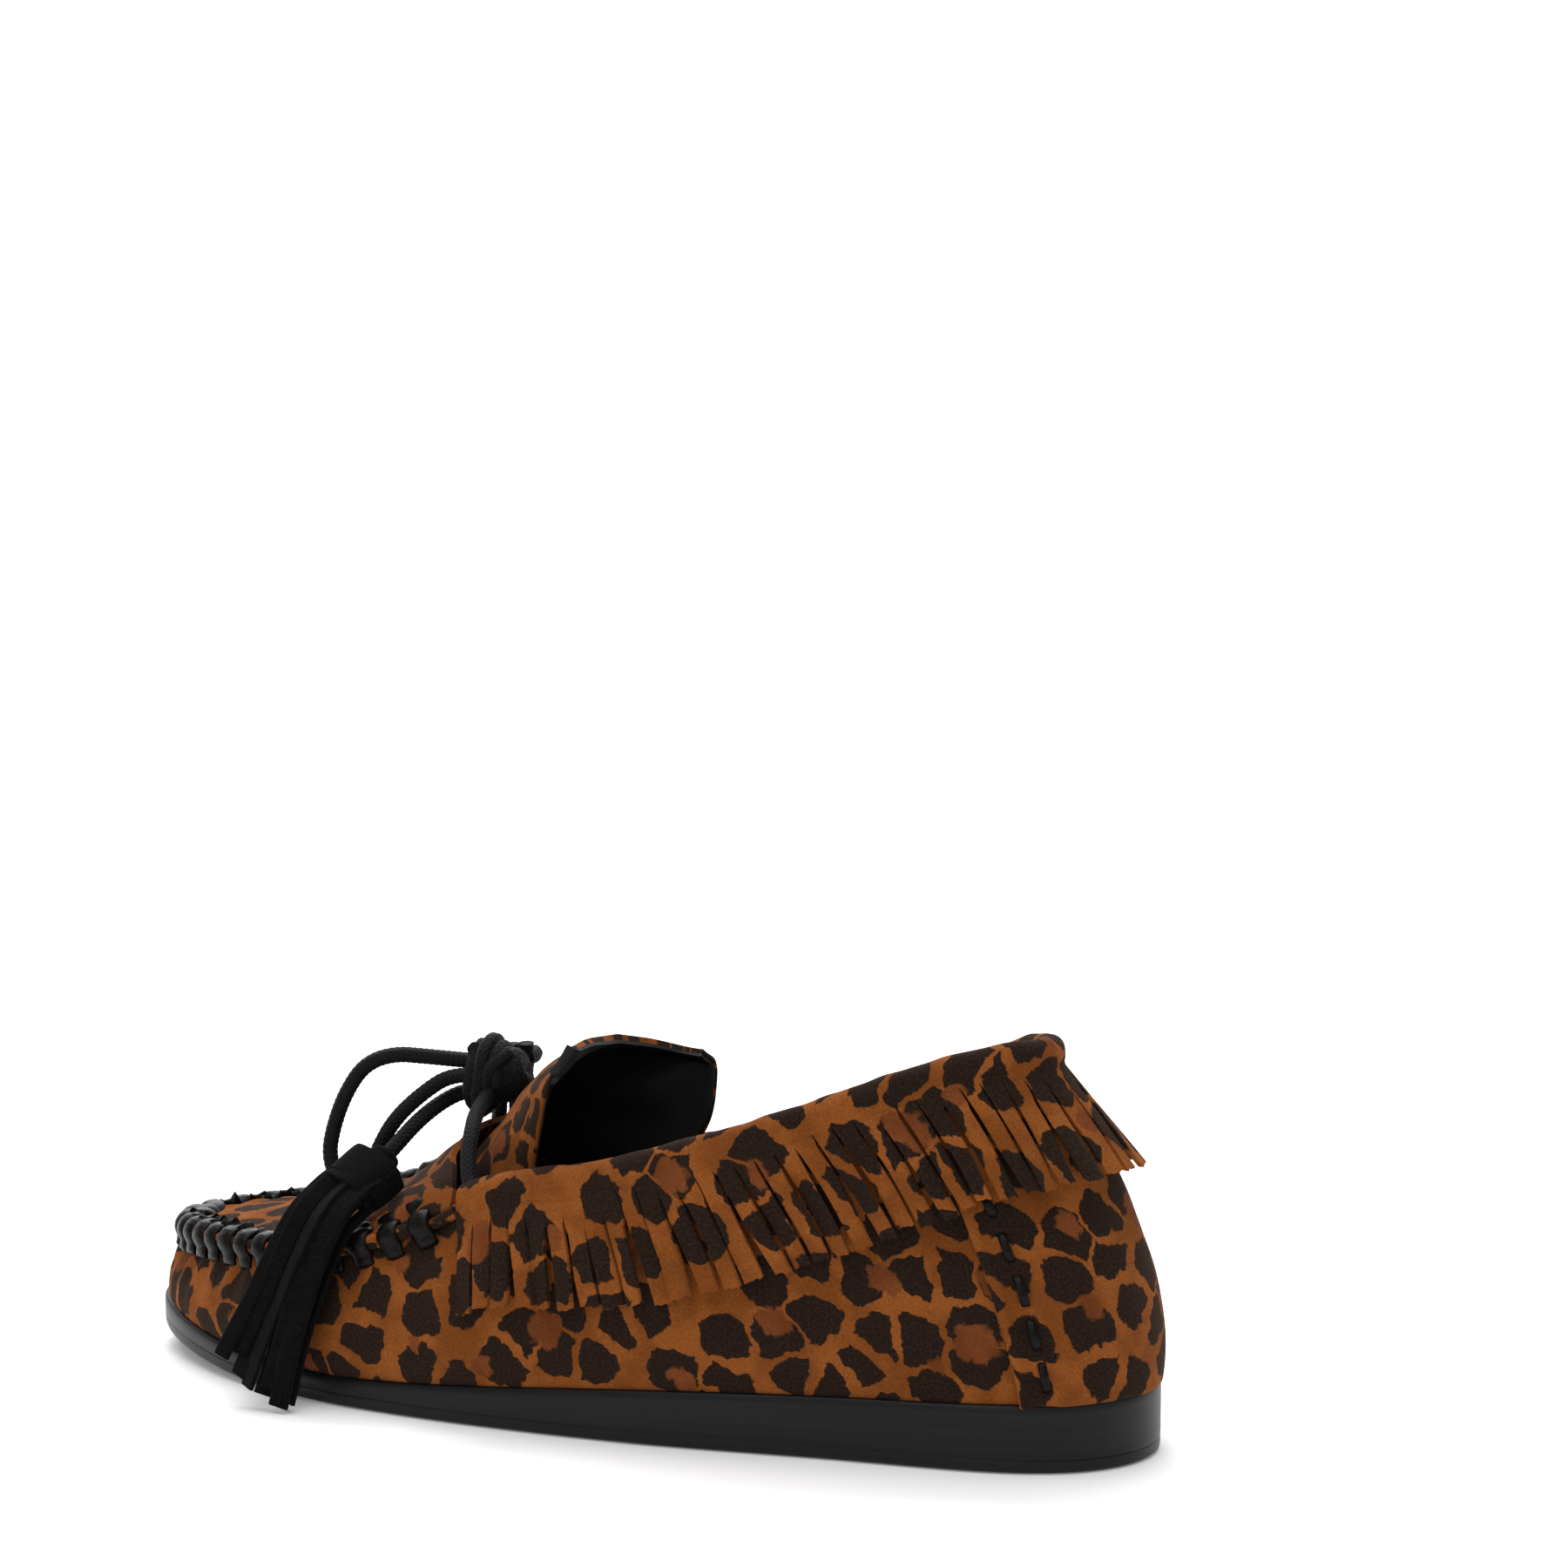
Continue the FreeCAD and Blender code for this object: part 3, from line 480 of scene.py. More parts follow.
def nap_tufts(m, place):
    return noise(m, place, 1 / NAP, {"Detail": 3.0, "Roughness": 0.7}, **FLAT_NOISE)


def leopard_suede():
    """Calf split, brushed to a nap and printed: matt, soft-edged dark blots that run together into
    broken rings on a tan ground, and the nap's tufts catch the light unevenly."""
    m = new_finish("printed_suede")
    place = hide_place(m)
    hairy = place
    for scale, amount, seed in ((0.17, 3.6, 21.0), (0.42, 1.5, 33.0), (1.3, 0.55, 40.0)):
        hairy = warped(m, hairy, scale, amount, seed)
    rosette = add(m, "TexVoronoi", {"Vector": warped(m, hairy, 0.3, 2.6, 3.0), "Scale": 1 / ROSETTE,
                                    "Randomness": 0.7}, **FLAT_CELLS).outputs
    loose = {"Randomness": 0.8}
    to_net = cells(m, hairy, 1 / BLOT, loose, **FLAT_CELLS, feature="DISTANCE_TO_EDGE")
    to_middle = cells(m, hairy, 1 / BLOT, loose, **FLAT_CELLS)
    chance = add(m, "SeparateColor", {0: rosette["Color"]}).outputs[0]
    heart_size = math_node(m, "MULTIPLY_ADD", chance, 0.12, 0.06)
    from_heart = math_node(m, "SUBTRACT", rosette["Distance"], heart_size)
    heart = opposite(m, stepped(m, from_heart, -0.02, 0.02))
    ring = opposite(m, stepped(m, rosette["Distance"], 0.26, 0.44))
    net = math_node(m, "MULTIPLY_ADD", ring, -0.085, 0.125)
    inked = stepped(m, math_node(m, "SUBTRACT", to_net, net), -0.012, 0.014)
    rounded = math_node(m, "MULTIPLY", inked, opposite(m, stepped(m, to_middle, 0.49, 0.52)))
    blot = math_node(m, "MULTIPLY", rounded, opposite(m, heart))

    brushed = stepped(m, noise(m, place, 0.07, {"Detail": 3.0, "Roughness": 0.6}, **FLAT_NOISE), 0.35, 0.65)
    tufts = nap_tufts(m, place)
    ground = mixed(m, brushed, colour("#753f15"), colour("#8b4e1f"))
    centre = mixed(m, brushed, colour("#643316"), colour("#743e1d"))
    dark = mixed(m, stepped(m, tufts, 0.35, 0.7), colour("#1a110c"), colour("#2b1c13"))
    printed = mixed(m, blot, mixed(m, heart, ground, centre), dark)
    shade = remapped(m, tufts, {"From Min": 0.3, "From Max": 0.7, "To Min": 0.78, "To Max": 1.18})
    return surface(m, {"Base Color": scaled(m, printed, shade), "Roughness": 0.95, "Specular IOR Level": 0.15,
                       "Sheen Weight": 0.08, "Sheen Roughness": 0.5, "Sheen Tint": colour("#c08050"),
                       "Normal": bumped(m, tufts, 0.55, 0.35)})


def plain_suede():
    """Black dyed split suede of the tassels: almost no gloss, and a faint grey nap."""
    m = new_finish("black_suede")
    place = hide_place(m)
    tufts = nap_tufts(m, place)
    patches = noise(m, place, 0.18, {"Detail": 2.0}, **FLAT_NOISE)
    tone = mixed(m, patches, colour("#060505"), colour("#0d0c0c"))
    fleck = mixed(m, stepped(m, tufts, 0.55, 0.75), tone, colour("#191616"))
    return surface(m, {"Base Color": fleck, "Roughness": 0.95, "Specular IOR Level": 0.06,
                       "Sheen Weight": 0.03, "Sheen Roughness": 0.5, "Normal": bumped(m, tufts, 0.5, 0.3)})


def braided_cord():
    """Round braided cord, waxed cotton over a core: matt black, with crossing yarns a millimetre wide."""
    m = new_finish("black_braid")
    place = hide_place(m)
    yarns = []
    for lean in (0.8, -0.8):
        turned = add(m, "Mapping", {"Vector": place, "Rotation": (0, 0, lean)}).outputs[0]
        yarns.append(add(m, "TexWave", {"Vector": turned, "Scale": 0.32, "Distortion": 0.6, "Detail": 1.0},
                         bands_direction="X").outputs["Fac"])
    relief = math_node(m, "MAXIMUM", *yarns)
    fibres = noise(m, place, 3.0, {"Detail": 2.0})
    tone = mixed(m, relief, colour("#050506"), colour("#101012"))
    height = math_node(m, "MULTIPLY_ADD", fibres, 0.4, relief)
    return surface(m, {"Base Color": tone, "Roughness": 0.7, "Specular IOR Level": 0.16,
                       "Sheen Weight": 0.02, "Normal": bumped(m, height, 0.7, 0.22)})


def lacing_leather():
    """Waxed black calf lace, pulled tight: low gloss, with small creases across it."""
    m = new_finish("waxed_lace")
    creased = add(m, "Mapping", {"Vector": hide_place(m), "Scale": (0.9, 0.35, 1.0)}).outputs[0]
    creases = noise(m, creased, 0.9, {"Detail": 3.0, "Roughness": 0.6})
    # The creases are painted darker than the leather between them: painted shade in the creases.
    tone = mixed(m, stepped(m, creases, 0.3, 0.6), colour("#060403"), colour("#0d0907"))
    rough = remapped(m, creases, {"To Min": 0.24, "To Max": 0.42})
    return surface(m, {"Base Color": tone, "Roughness": rough, "IOR": 1.5,
                       "Specular IOR Level": 0.13, "Normal": bumped(m, creases, 0.6, 0.5)})


def object_finish(name):
    """A finish whose pattern is placed by the piece's own coordinates, in metres."""
    m = new_finish(name)
    return m, add(m, "TexCoord").outputs["Object"]


def edge_leather():
    """Stacked sole leather, inked and burnished black: satin, with fine lines along the layers."""
    m, place = object_finish("burnished_edge")
    lines = add(m, "Mapping", {"Vector": place, "Scale": (18.0, 18.0, 1700.0)}).outputs[0]
    layers = noise(m, lines, 1.0, {"Detail": 4.0, "Roughness": 0.6})
    rubbed = noise(m, place, 45.0, {"Detail": 3.0})
    tone = mixed(m, stepped(m, layers, 0.3, 0.7), colour("#080809"), colour("#111113"))
    rough = remapped(m, rubbed, {"To Min": 0.30, "To Max": 0.48})
    return surface(m, {"Base Color": tone, "Roughness": rough, "IOR": 1.5, "Specular IOR Level": 0.22,
                       "Normal": bumped(m, layers, 0.3, 0.12)})


def tread_leather():
    """Tread face of vegetable-tanned sole leather, dyed near black: a little scuffed and pored."""
    m, place = object_finish("dyed_sole_leather")
    scuffs = noise(m, place, 60.0, {"Detail": 5.0, "Distortion": 1.2})
    tone = mixed(m, stepped(m, scuffs, 0.35, 0.75), colour("#1a1817"), colour("#2f2b28"))
    return surface(m, {"Base Color": tone, "Roughness": 0.6, "IOR": 1.5,
                       "Normal": bumped(m, cells(m, place, 900.0), 0.3, 0.15)})


def lining_leather():
    """Smooth black lining leather: soft low gloss over a fine grain."""
    m, place = object_finish("lining_leather")
    grain = cells(m, place, 1100.0, feature="SMOOTH_F1")
    # Soft patches of darker and lighter colour stand for folds in the lining: painted shade and light of folds
    # that the surface does not have.
    folds = noise(m, place, 70.0, {"Detail": 3.0})
    return surface(m, {"Base Color": mixed(m, folds, colour("#090909"), colour("#121212")), "Roughness": 0.62,
                       "Specular IOR Level": 0.3, "Normal": bumped(m, grain, 0.25, 0.12)})


def fibre_board():
    """Pressed cellulose board, hidden under the sock: matt grey-brown with flecks."""
    m, place = object_finish("fibre_board")
    flecks = stepped(m, noise(m, place, 900.0, {"Detail": 3.0}), 0.4, 0.6)
    tone = mixed(m, flecks, colour("#4a4038"), colour("#6b6055"))
    return surface(m, {"Base Color": tone, "Roughness": 0.9})


def foam():
    """Open-cell heel foam, hidden under the sock: matt grey with small pores."""
    m, place = object_finish("heel_foam")
    pores = cells(m, place, 1200.0)
    tone = mixed(m, pores, colour("#2b2b2c"), colour("#525254"))
    return surface(m, {"Base Color": tone, "Roughness": 0.95})


def pale_floor():
    """Matt white paper sweep, glowing a little so that it stays white away from the lamps."""
    m = new_finish("pale_floor")
    return surface(m, {"Base Color": colour("#ffffff"), "Roughness": 0.8, "Specular IOR Level": 0.2,
                       "Emission Color": colour("#ffffff"), "Emission Strength": 0.12})


LEOPARD = leopard_suede()
BLACK_SUEDE = plain_suede()
BRAID = braided_cord()
LACE_LEATHER = lacing_leather()
EDGE = edge_leather()
TREAD = tread_leather()
BLACK_LINING = lining_leather()
BOARD_FIBRE = fibre_board()
HEEL_FOAM = foam()

# ---- Cords: the knot's bow loops and tails ----
BOW_LOOP_OUTER = [(-1, -41.5, 75.6), (-1, -47.5, 75.6), (2.5, -54.2, 76.4), (6.5, -61, 77.2), (9.2, -67.5, 74.5),
                  (11.5, -71.5, 67.5), (13.5, -73.7, 59.5), (14.8, -74.3, 52.6), (15.8, -70.8, 46.4),
                  (15.8, -63.2, 47.6), (14.7, -60.8, 54.8), (11.8, -58, 62), (7.5, -53, 68), (3, -47, 72.8),
                  (3, -41.5, 72.8)]
BOW_LOOP_INNER = [(-8.5, -37.6, 76.3), (-12.5, -37.6, 76.3), (-16.5, -42.5, 75.2), (-22, -47.5, 71),
                  (-28.4, -51.6, 63.4), (-34, -55.2, 54.6), (-38.6, -59.2, 45.8), (-42.5, -62.5, 38),
                  (-45.2, -64.6, 31.5), (-46.6, -62.6, 25.1), (-46.8, -54.9, 24.9), (-45.6, -52.3, 31.7),
                  (-43.8, -53.6, 39), (-39.9, -53, 47), (-34.4, -50.5, 55.5), (-28, -46.8, 64.2),
                  (-21.5, -41.8, 72), (-15.8, -34.8, 76.4), (-12.6, -32.7, 75.9), (-8.5, -32.7, 75.9)]
TAIL_OUTER = [(-0.8, -36.0, 68.1), (-0.8, -41.5, 68.1), (-0.8, -46.0, 68.1), (2.8, -49.6, 65.9),
              (8, -51.6, 63.2), (12.8, -52.5, 60.8), (17.1, -53.4, 58), (21.5, -55.2, 54.4)]
TAIL_INNER = [(-3.5, -35.3, 70.8), (-8.5, -35.3, 70.8), (-12.5, -35.3, 70.8), (-16.8, -38.2, 69.4),
              (-21.6, -39.6, 67), (-26.5, -39.5, 64), (-31, -38.6, 60.1), (-35.4, -38.0, 56.0)]
RISER_OUTER = [(2.5, -35.5, 70.5), (8, -35.2, 68.0), (15, -33.4, 66.2), (22.0, -30.4, 63.6),
               (27.6, -28.4, 58.6)]
RISER_INNER = [(-28.8, -29.5, 58.0), (-22.5, -32.0, 62.4), (-15, -33.5, 64.4), (-8, -34.2, 66.6),
               (-2.5, -34.5, 70.2)]
LACE_LEVEL = 2.5
FOLD_MIDDLE = -1.1
BRAID_STEP = 0.4
BRAID_REPEAT = 2.7
YARN_HEIGHT = 0.13
YARN_ROOT = 0.08


def route_line(points):
    """The smooth line that a cord follows, read from its NURBS spline, in mm."""
    curve = bpy.data.curves.new("route", "CURVE")
    curve.dimensions = "3D"
    spline = curve.splines.new("NURBS")
    spline.points.add(len(points) - 1)
    for at, point in zip(spline.points, points):
        at.co = [c * MM for c in point] + [1]
    spline.order_u = 3
    spline.use_endpoint_u = True
    spline.resolution_u = 24
    route = bpy.data.objects.new("route", curve)
    bpy.context.scene.collection.objects.link(route)
    mesh = bpy.data.meshes.new_from_object(route)
    line = np.array([v.co for v in mesh.vertices], float) / MM
    bpy.data.objects.remove(route)
    bpy.data.meshes.remove(mesh)
    return line


def even(line, step):
    """The same line with evenly spaced points."""
    travelled = distances(line)
    at = np.linspace(0, travelled[-1], max(int(travelled[-1] / step), 8))
    return np.stack([np.interp(at, travelled, column) for column in line.T], -1)


def cord_rings(line, diameter, around=24, looped=False):
    """Braided tube round a line: crossing yarns lift its surface a little."""
    if looped:
        along = unit(np.roll(line, -1, axis=0) - np.roll(line, 1, axis=0))
    else:
        along = unit(np.gradient(line, axis=0))
    wide = np.zeros_like(line)
    wide[0] = unit(np.cross(along[0], (0.3, 0.2, 1.0)))
    for k in range(1, len(line)):
        wide[k] = unit(wide[k - 1] - along[k] * (wide[k - 1] @ along[k]))
    thick = np.cross(along, wide)
    turn = np.arange(around) * 2 * math.pi / around
    travelled = distances(line)
    twist = 2 * math.pi * travelled[:, None] / BRAID_REPEAT
    relief = np.cos(3 * turn + twist) * np.cos(3 * turn - twist)
    radius = (diameter / 2 - YARN_ROOT + YARN_HEIGHT * relief)[..., None]
    outward = wide[:, None] * np.cos(turn)[:, None] + thick[:, None] * np.sin(turn)[:, None]
    rings = line[:, None] + outward * radius
    cut = np.stack(np.broadcast_arrays(travelled[:, None], diameter / 2 * turn), -1)
    return rings, cut


def free_cord(name, points, body, node):
    line = even(route_line(points), BRAID_STEP)
    made = put(mesh_piece(name, [cord_rings(line, CORD_DIAMETER)]), body, BRAID, "black_cord", node)
    [c * MM for c in points[0]]
    return made


free_cord("bow_loop_outer_cord", BOW_LOOP_OUTER, "shoe", "bow_loop_outer")
free_cord("bow_loop_inner_cord", BOW_LOOP_INNER, "shoe", "bow_loop_inner")

# ---- Tassels: a wound head and loose strips of black suede ----
HEAD_LENGTH = 12.0
# Along the tassel, from the middle of its knot: half width and half thickness.
TASSEL_HALF_WIDTH = [(1.5, 3.4), (5, 7.0), (12, 7.8), (25, 8.2), (42, 9.3), (60, 12.0), (72, 13.4)]
TASSEL_HALF_DEPTH = [(1.5, 3.0), (5, 4.4), (12, 4.6), (25, 4.0), (42, 3.5), (60, 3.2), (72, 2.8)]
TASSEL_OUTER = [(19.8, -54.4, 55.9), (25, -57, 51.2), (31, -60, 47.6), (37.5, -62, 43.2), (43, -64.5, 34.4),
                (47.5, -67.5, 23.2), (50.8, -71.5, 11), (52, -73.8, 3.6)]
TASSEL_INNER = [(-33.5, -38.1, 57.6), (-37.6, -38, 54), (-42, -38, 47.5), (-45, -38.5, 39), (-47, -39.2, 28),
                (-48.8, -40.6, 15), (-49.6, -41.5, 5.5)]
STRIP_WIDTH = 4.6
STRIP_THICKNESS = 1.15
TASSEL_STEP = 0.5
ROLL_SQUARENESS = 0.75
WINDING = (2.6, 11.4)


def tassel_frame(path):
    line = even(through(path, 300), TASSEL_STEP)
    along = unit(np.gradient(line, axis=0))
    wide = unit(np.array([0.0, 1.0, 0.0]) - along * along[:, 1:2])
    return line, wide, np.cross(along, wide)


def tassel_head(name, path, body, node):
    """Rolled suede: a bound neck, a swelling roll, and the loose end of the winding laid over it."""
    line, wide, thick = tassel_frame(path)
    d = np.arange(len(line)) * TASSEL_STEP
    keep = d <= HEAD_LENGTH + 2
    bound = ramp((d[keep] + 2.2) / 3.5) ** 0.5
    half_w = smooth(d, TASSEL_HALF_WIDTH)[keep] * bound
    half_t = smooth(d, TASSEL_HALF_DEPTH)[keep] * bound
    turn = (np.arange(32) + 0.5) * 2 * math.pi / 32
    c, s = squared(turn, ROLL_SQUARENESS)
    folds = 1 + 0.05 * ripple(turn[None, :] * 4, d[keep][:, None] * 0.6, 2.4, 5)
    rolls = (line[keep][:, None] + wide[keep][:, None] * (half_w[:, None] * c * folds)[..., None]
             + thick[keep][:, None] * (half_t[:, None] * s * folds)[..., None])
    span = np.linspace(0.15, 2 * math.pi + 0.5, 90)
    lift = 0.1 + 0.45 * np.linspace(0, 1, 90)
    start, end = WINDING
    at = np.clip(np.searchsorted(d, (start + end) / 2 + span * 0.12), 0, len(d) - 1)
    c, s = squared(span, ROLL_SQUARENESS)
    wound = (line[at] + wide[at] * ((smooth(d[at], TASSEL_HALF_WIDTH) + lift) * c)[:, None]
             + thick[at] * ((smooth(d[at], TASSEL_HALF_DEPTH) + lift) * s)[:, None])
    band = strap_rings(wound, unit(np.gradient(line, axis=0))[at], (end - start) / 2, 0.4)
    bundles = [(rolls, strap_cut(rolls, (200, 60))), (band, strap_cut(band, (240, 80)))]
    return put(mesh_piece(name, bundles), body, BLACK_SUEDE, "black_suede", node)


def tassel_strips(name, path, body, node, seed):
    """Strips cut from one piece of suede: they leave the roll side by side, in layers, and fan out."""
    draw = np.random.default_rng(seed)
    line, wide, thick = tassel_frame(path)
    d = np.arange(len(line)) * TASSEL_STEP
    bundles = []
    for layer, count in ((-0.7, 4), (-0.05, 4), (0.6, 5)):
        for k in range(count):
            q = -1 + 2 * (k + 0.5 + draw.uniform(-0.18, 0.18)) / count
            reach = len(d) - 1 - int((draw.uniform(0, 3.5) + 5.0 * (q < -0.3)) / TASSEL_STEP)
            pick = np.arange(int((HEAD_LENGTH - 4) / TASSEL_STEP), reach, 2)
            fall = ramp((d[pick] - HEAD_LENGTH) / (d[-1] - HEAD_LENGTH))
            half_w = smooth(d[pick], TASSEL_HALF_WIDTH) - 0.7
            half_t = smooth(d[pick], TASSEL_HALF_DEPTH)
            sway = draw.uniform(-1.3, 1.3) * fall**2
            sway = sway + draw.uniform(-0.5, 0.5) * np.sin(d[pick] / 9 + draw.uniform(0, 6))
            stand = draw.uniform(-0.5, 0.9) * fall**2 + 0.35 * np.sin(d[pick] / 7 + draw.uniform(0, 6)) * fall
            at = (line[pick] + wide[pick] * (q * half_w + sway)[:, None]
                  + thick[pick] * (layer * half_t + stand)[:, None])
            tilt = draw.uniform(-0.5, 0.5) + draw.uniform(-0.7, 0.7) * fall
            lie = wide[pick] * np.cos(tilt)[:, None] + thick[pick] * np.sin(tilt)[:, None]
            width = STRIP_WIDTH / 2 * draw.uniform(0.85, 1.15) * np.ones(len(pick))
            rings = strap_rings(at, lie, width, STRIP_THICKNESS / 2, squareness=0.3)
            bundles.append((rings, strap_cut(rings, (draw.uniform(0, 300), 0))))
    return put(mesh_piece(name, bundles, crease=60), body, BLACK_SUEDE, "black_suede", node)


for side, path, tail, seed in (("outer", TASSEL_OUTER, TAIL_OUTER, 3),
                               ("inner", TASSEL_INNER, TAIL_INNER, 8)):
    body = "tassel_" + side
    head = tassel_head("tassel_roll_" + side, path, body, "tassel_head_" + side)
    strips = tassel_strips("tassel_fringe_" + side, path, body, "tassel_strips_" + side, seed)
    free_cord("lace_tail_%s_cord" % side, tail, "shoe", "lace_tail_" + side)


def collar_lace():
    """The lace that runs in the collar's fold and rises from both its ends to the knot."""
    angles = (COLLAR_FRONT_ANGLE - 1.0) * (1 - 2 * np.arange(41) / 40)
    fold = wall(angles, 1) + wall_outward(angles) * FOLD_MIDDLE + vec(0, 0, LACE_LEVEL)
    line = even(route_line(RISER_OUTER + fold.tolist() + RISER_INNER), 0.5)
    put(mesh_piece("collar_lace_cord", [cord_rings(line, CORD_DIAMETER)]), "shoe", BRAID, "black_cord",
        "collar_lace")


collar_lace()

# ---- Knot ----
# (Y, bottom, top, half width, lean along Y) of each turn
WRAPS = [(-38.4, 62.9, 83.0, 6.6, 3.0), (-34.1, 66.6, 81.4, 6.4, -2.0), (-29.9, 70.4, 79.8, 4.4, -4.0)]


def knot_wrap(y, bottom, top, half_width, slant):
    """One upright turn of cord; slant is how far its top leans along Y, in mm."""
    r = CORD_DIAMETER / 2
    half = half_width - r
    low, high = bottom + r + half, top - r - half
    turn = np.linspace(0, 2 * math.pi, 91)[:-1]
    z = np.where(np.sin(turn) > 0, high, low) + half * np.sin(turn)
    y = y + slant * (z - (low + high) / 2) / (top - bottom) + 0.5 * np.cos(turn)
    line = vec(half * np.cos(turn), y, z)
    closed = even(np.concatenate([line, line[:1]]), BRAID_STEP)[:-1]
    return cord_rings(closed, CORD_DIAMETER + 0.2, looped=True)


def knot():
    """Three turns side by side round crossed strands, with the loops and tails coming out in front."""
    turns = mesh_piece("knot_wraps", [knot_wrap(*turn) for turn in WRAPS], looped=True)
    put(turns, "shoe", BRAID, "black_cord", "lace_knot")
    strands = [
        [(-4.5, -41.2, 77.5), (-1.5, -40.8, 79.5), (2.2, -41.0, 76), (3.4, -41.6, 71), (2.0, -41.8, 66.5),
         (-1, -40, 63.5)],
        [(2.5, -40.8, 79), (-1.5, -41.6, 78.0), (-3.6, -42.0, 73), (-2.6, -41.8, 67.5), (0.5, -40, 64)],
        [(-8.8, -37.2, 79), (-9.2, -37.0, 75), (-9.0, -36.0, 70), (-7.5, -35.5, 66)],
        [(-8.6, -33.0, 79.5), (-9.2, -33.2, 75), (-8.8, -34.0, 70), (-6.5, -34.5, 67)],
        [(-6, -39.5, 70), (0, -37, 66.5), (4, -36.2, 70.5), (5.2, -34.5, 75.5), (2, -31.0, 79)],
    ]
    bundles = [cord_rings(even(through(points, 60), BRAID_STEP), CORD_DIAMETER) for points in strands]
    put(mesh_piece("knot_strands", bundles), "shoe", BRAID, "black_cord")
    core = vec(0, np.linspace(-41.5, -28.5, 20), np.linspace(71.5, 75.0, 20))
    swell = np.sin(np.linspace(0.35, math.pi - 0.3, 20)) ** 0.5
    rings = strap_rings(core, np.array([1.0, 0, 0]), 5.6 * swell, 7.0 * swell, count=24, squareness=1.0)
    put(mesh_piece("knot_core", [(rings, strap_cut(rings))]), "shoe", BRAID, "black_cord")


knot()


# ---- Sole ----
def layer_rings(profile, low_flats, high_flats):
    """Rings from the middle of the underside, round the edge, to the middle of the top.

    profile is a list of (offset of the outline, height as a function of Y); flats are shares of the
    outline's size on the two faces."""
    angle = np.arange(0, 360, 1.25) + 0.6
    rings = []

    def flat(share, height):
        ring = sole_ring(angle, profile[0][0]) * share
        ring[:, 2] = height(ring[:, 1])
        rings.append(ring)

    for share in low_flats:
        flat(share, profile[0][1])
    for offset, height in profile:
        ring = sole_ring(angle, offset)
        ring[:, 2] = height(ring[:, 1])
        rings.append(ring)
    for share in high_flats:
        flat(share, profile[-1][1])
    return np.stack(rings)


def sole_layer(name, node, profile, finish, slot_name):
    rings = layer_rings(profile, (0.02, 0.3, 0.6, 0.85, 0.97), (0.97, 0.85, 0.6, 0.3, 0.02))
    put(mesh_piece(name, [(rings, rings[..., :2])]), "shoe", finish, slot_name, node)


def above_tread(height):
    return lambda y: tread_z(y) + height


def below_sole_top(depth):
    return lambda y: sole_top(y) - depth


sole_layer("tread", "outsole",
           [(-1.3, above_tread(0)), (-0.7, above_tread(0.12)), (-0.25, above_tread(0.45)),
            (-0.05, above_tread(1.0)), (0, above_tread(1.8)), (0, above_tread(2.8)),
            (-0.05, above_tread(2.99))], TREAD, "tread_leather")
sole_layer("welted_wedge", "sole_wedge",
           [(-0.05, above_tread(3.0)), (0, above_tread(3.15)), (0.05, above_tread(4.2)),
            (0.08, below_sole_top(2.2)), (0.0, below_sole_top(0.9)), (-0.3, below_sole_top(0.3)),
            (-0.9, below_sole_top(0.0))], EDGE, "edge_leather")
bpy.data.objects["tread"].data.materials.append(EDGE)
for polygon in bpy.data.objects["tread"].data.polygons:
    polygon.material_index = 0 if abs(polygon.normal.z) > 0.9 else 1

# ---- Inside the foot ----
BOARD = 1.8
SOCK = 1.2
PAD = 2.5
PAD_FRONT = 45.0
PAD_RAMP = 20.0


def pad_rise(y):
    return PAD * (1 - np.cos(math.pi * np.clip((y - PAD_FRONT) / PAD_RAMP, 0, 1))) / 2


def sock():
    """Sock of lining leather over the board and heel cushion, turned up a little at its edge."""
    def height(extra):
        return lambda y: sole_top(y) + BOARD + 0.35 + pad_rise(y) + extra

    inside = -(UPPER_INSET + SUEDE + 1.1 + LINING + 1.1)
    rings = layer_rings([(inside - 0.3, height(0)), (inside, height(0.4)), (inside, height(SOCK + 0.25)),
                         (inside - 0.5, height(SOCK + 0.45)), (inside - 2.5, height(SOCK + 0.15)),
                         (inside - 5, height(SOCK))], (0.05, 0.5, 0.9), (0.95, 0.8, 0.6, 0.4, 0.2, 0.05))
    put(mesh_piece("sock", [(rings, rings[..., :2])]), "shoe", BLACK_LINING, "lining_leather", "sock_lining")


sock()

# ---- Whipstitch positions round the moc seam ----
def one_degree(angle):
    """The way the seam runs here, as long as one degree of it."""
    return top_edge(np.array(angle + 0.5)) - top_edge(np.array(angle - 0.5))


def stitch_angles():
    angles = []
    angle = STITCH_START
    while angle < 360 - STITCH_START:
        angles.append(angle)
        step = np.linalg.norm(one_degree(angle))
        angle += float(smooth(top_edge(np.array(angle))[1], STITCH_PITCHES)) / step
    return np.array(angles)


STITCHES = stitch_angles()


def between_stitches(angle):
    """1 midway between two whipstitches and -1 at each, fading out beyond the seam's ends."""
    phase = np.interp(angle, STITCHES, np.arange(len(STITCHES)))
    at_seam = ramp((angle - STITCHES[0] + 4) / 4) * ramp((STITCHES[-1] + 4 - angle) / 4)
    return -np.cos(2 * math.pi * phase) * at_seam


# ---- Upper ----
def leather(name, bundles, *nodes):
    put(mesh_piece(name, bundles), "shoe", LEOPARD, "leopard_suede", *nodes)


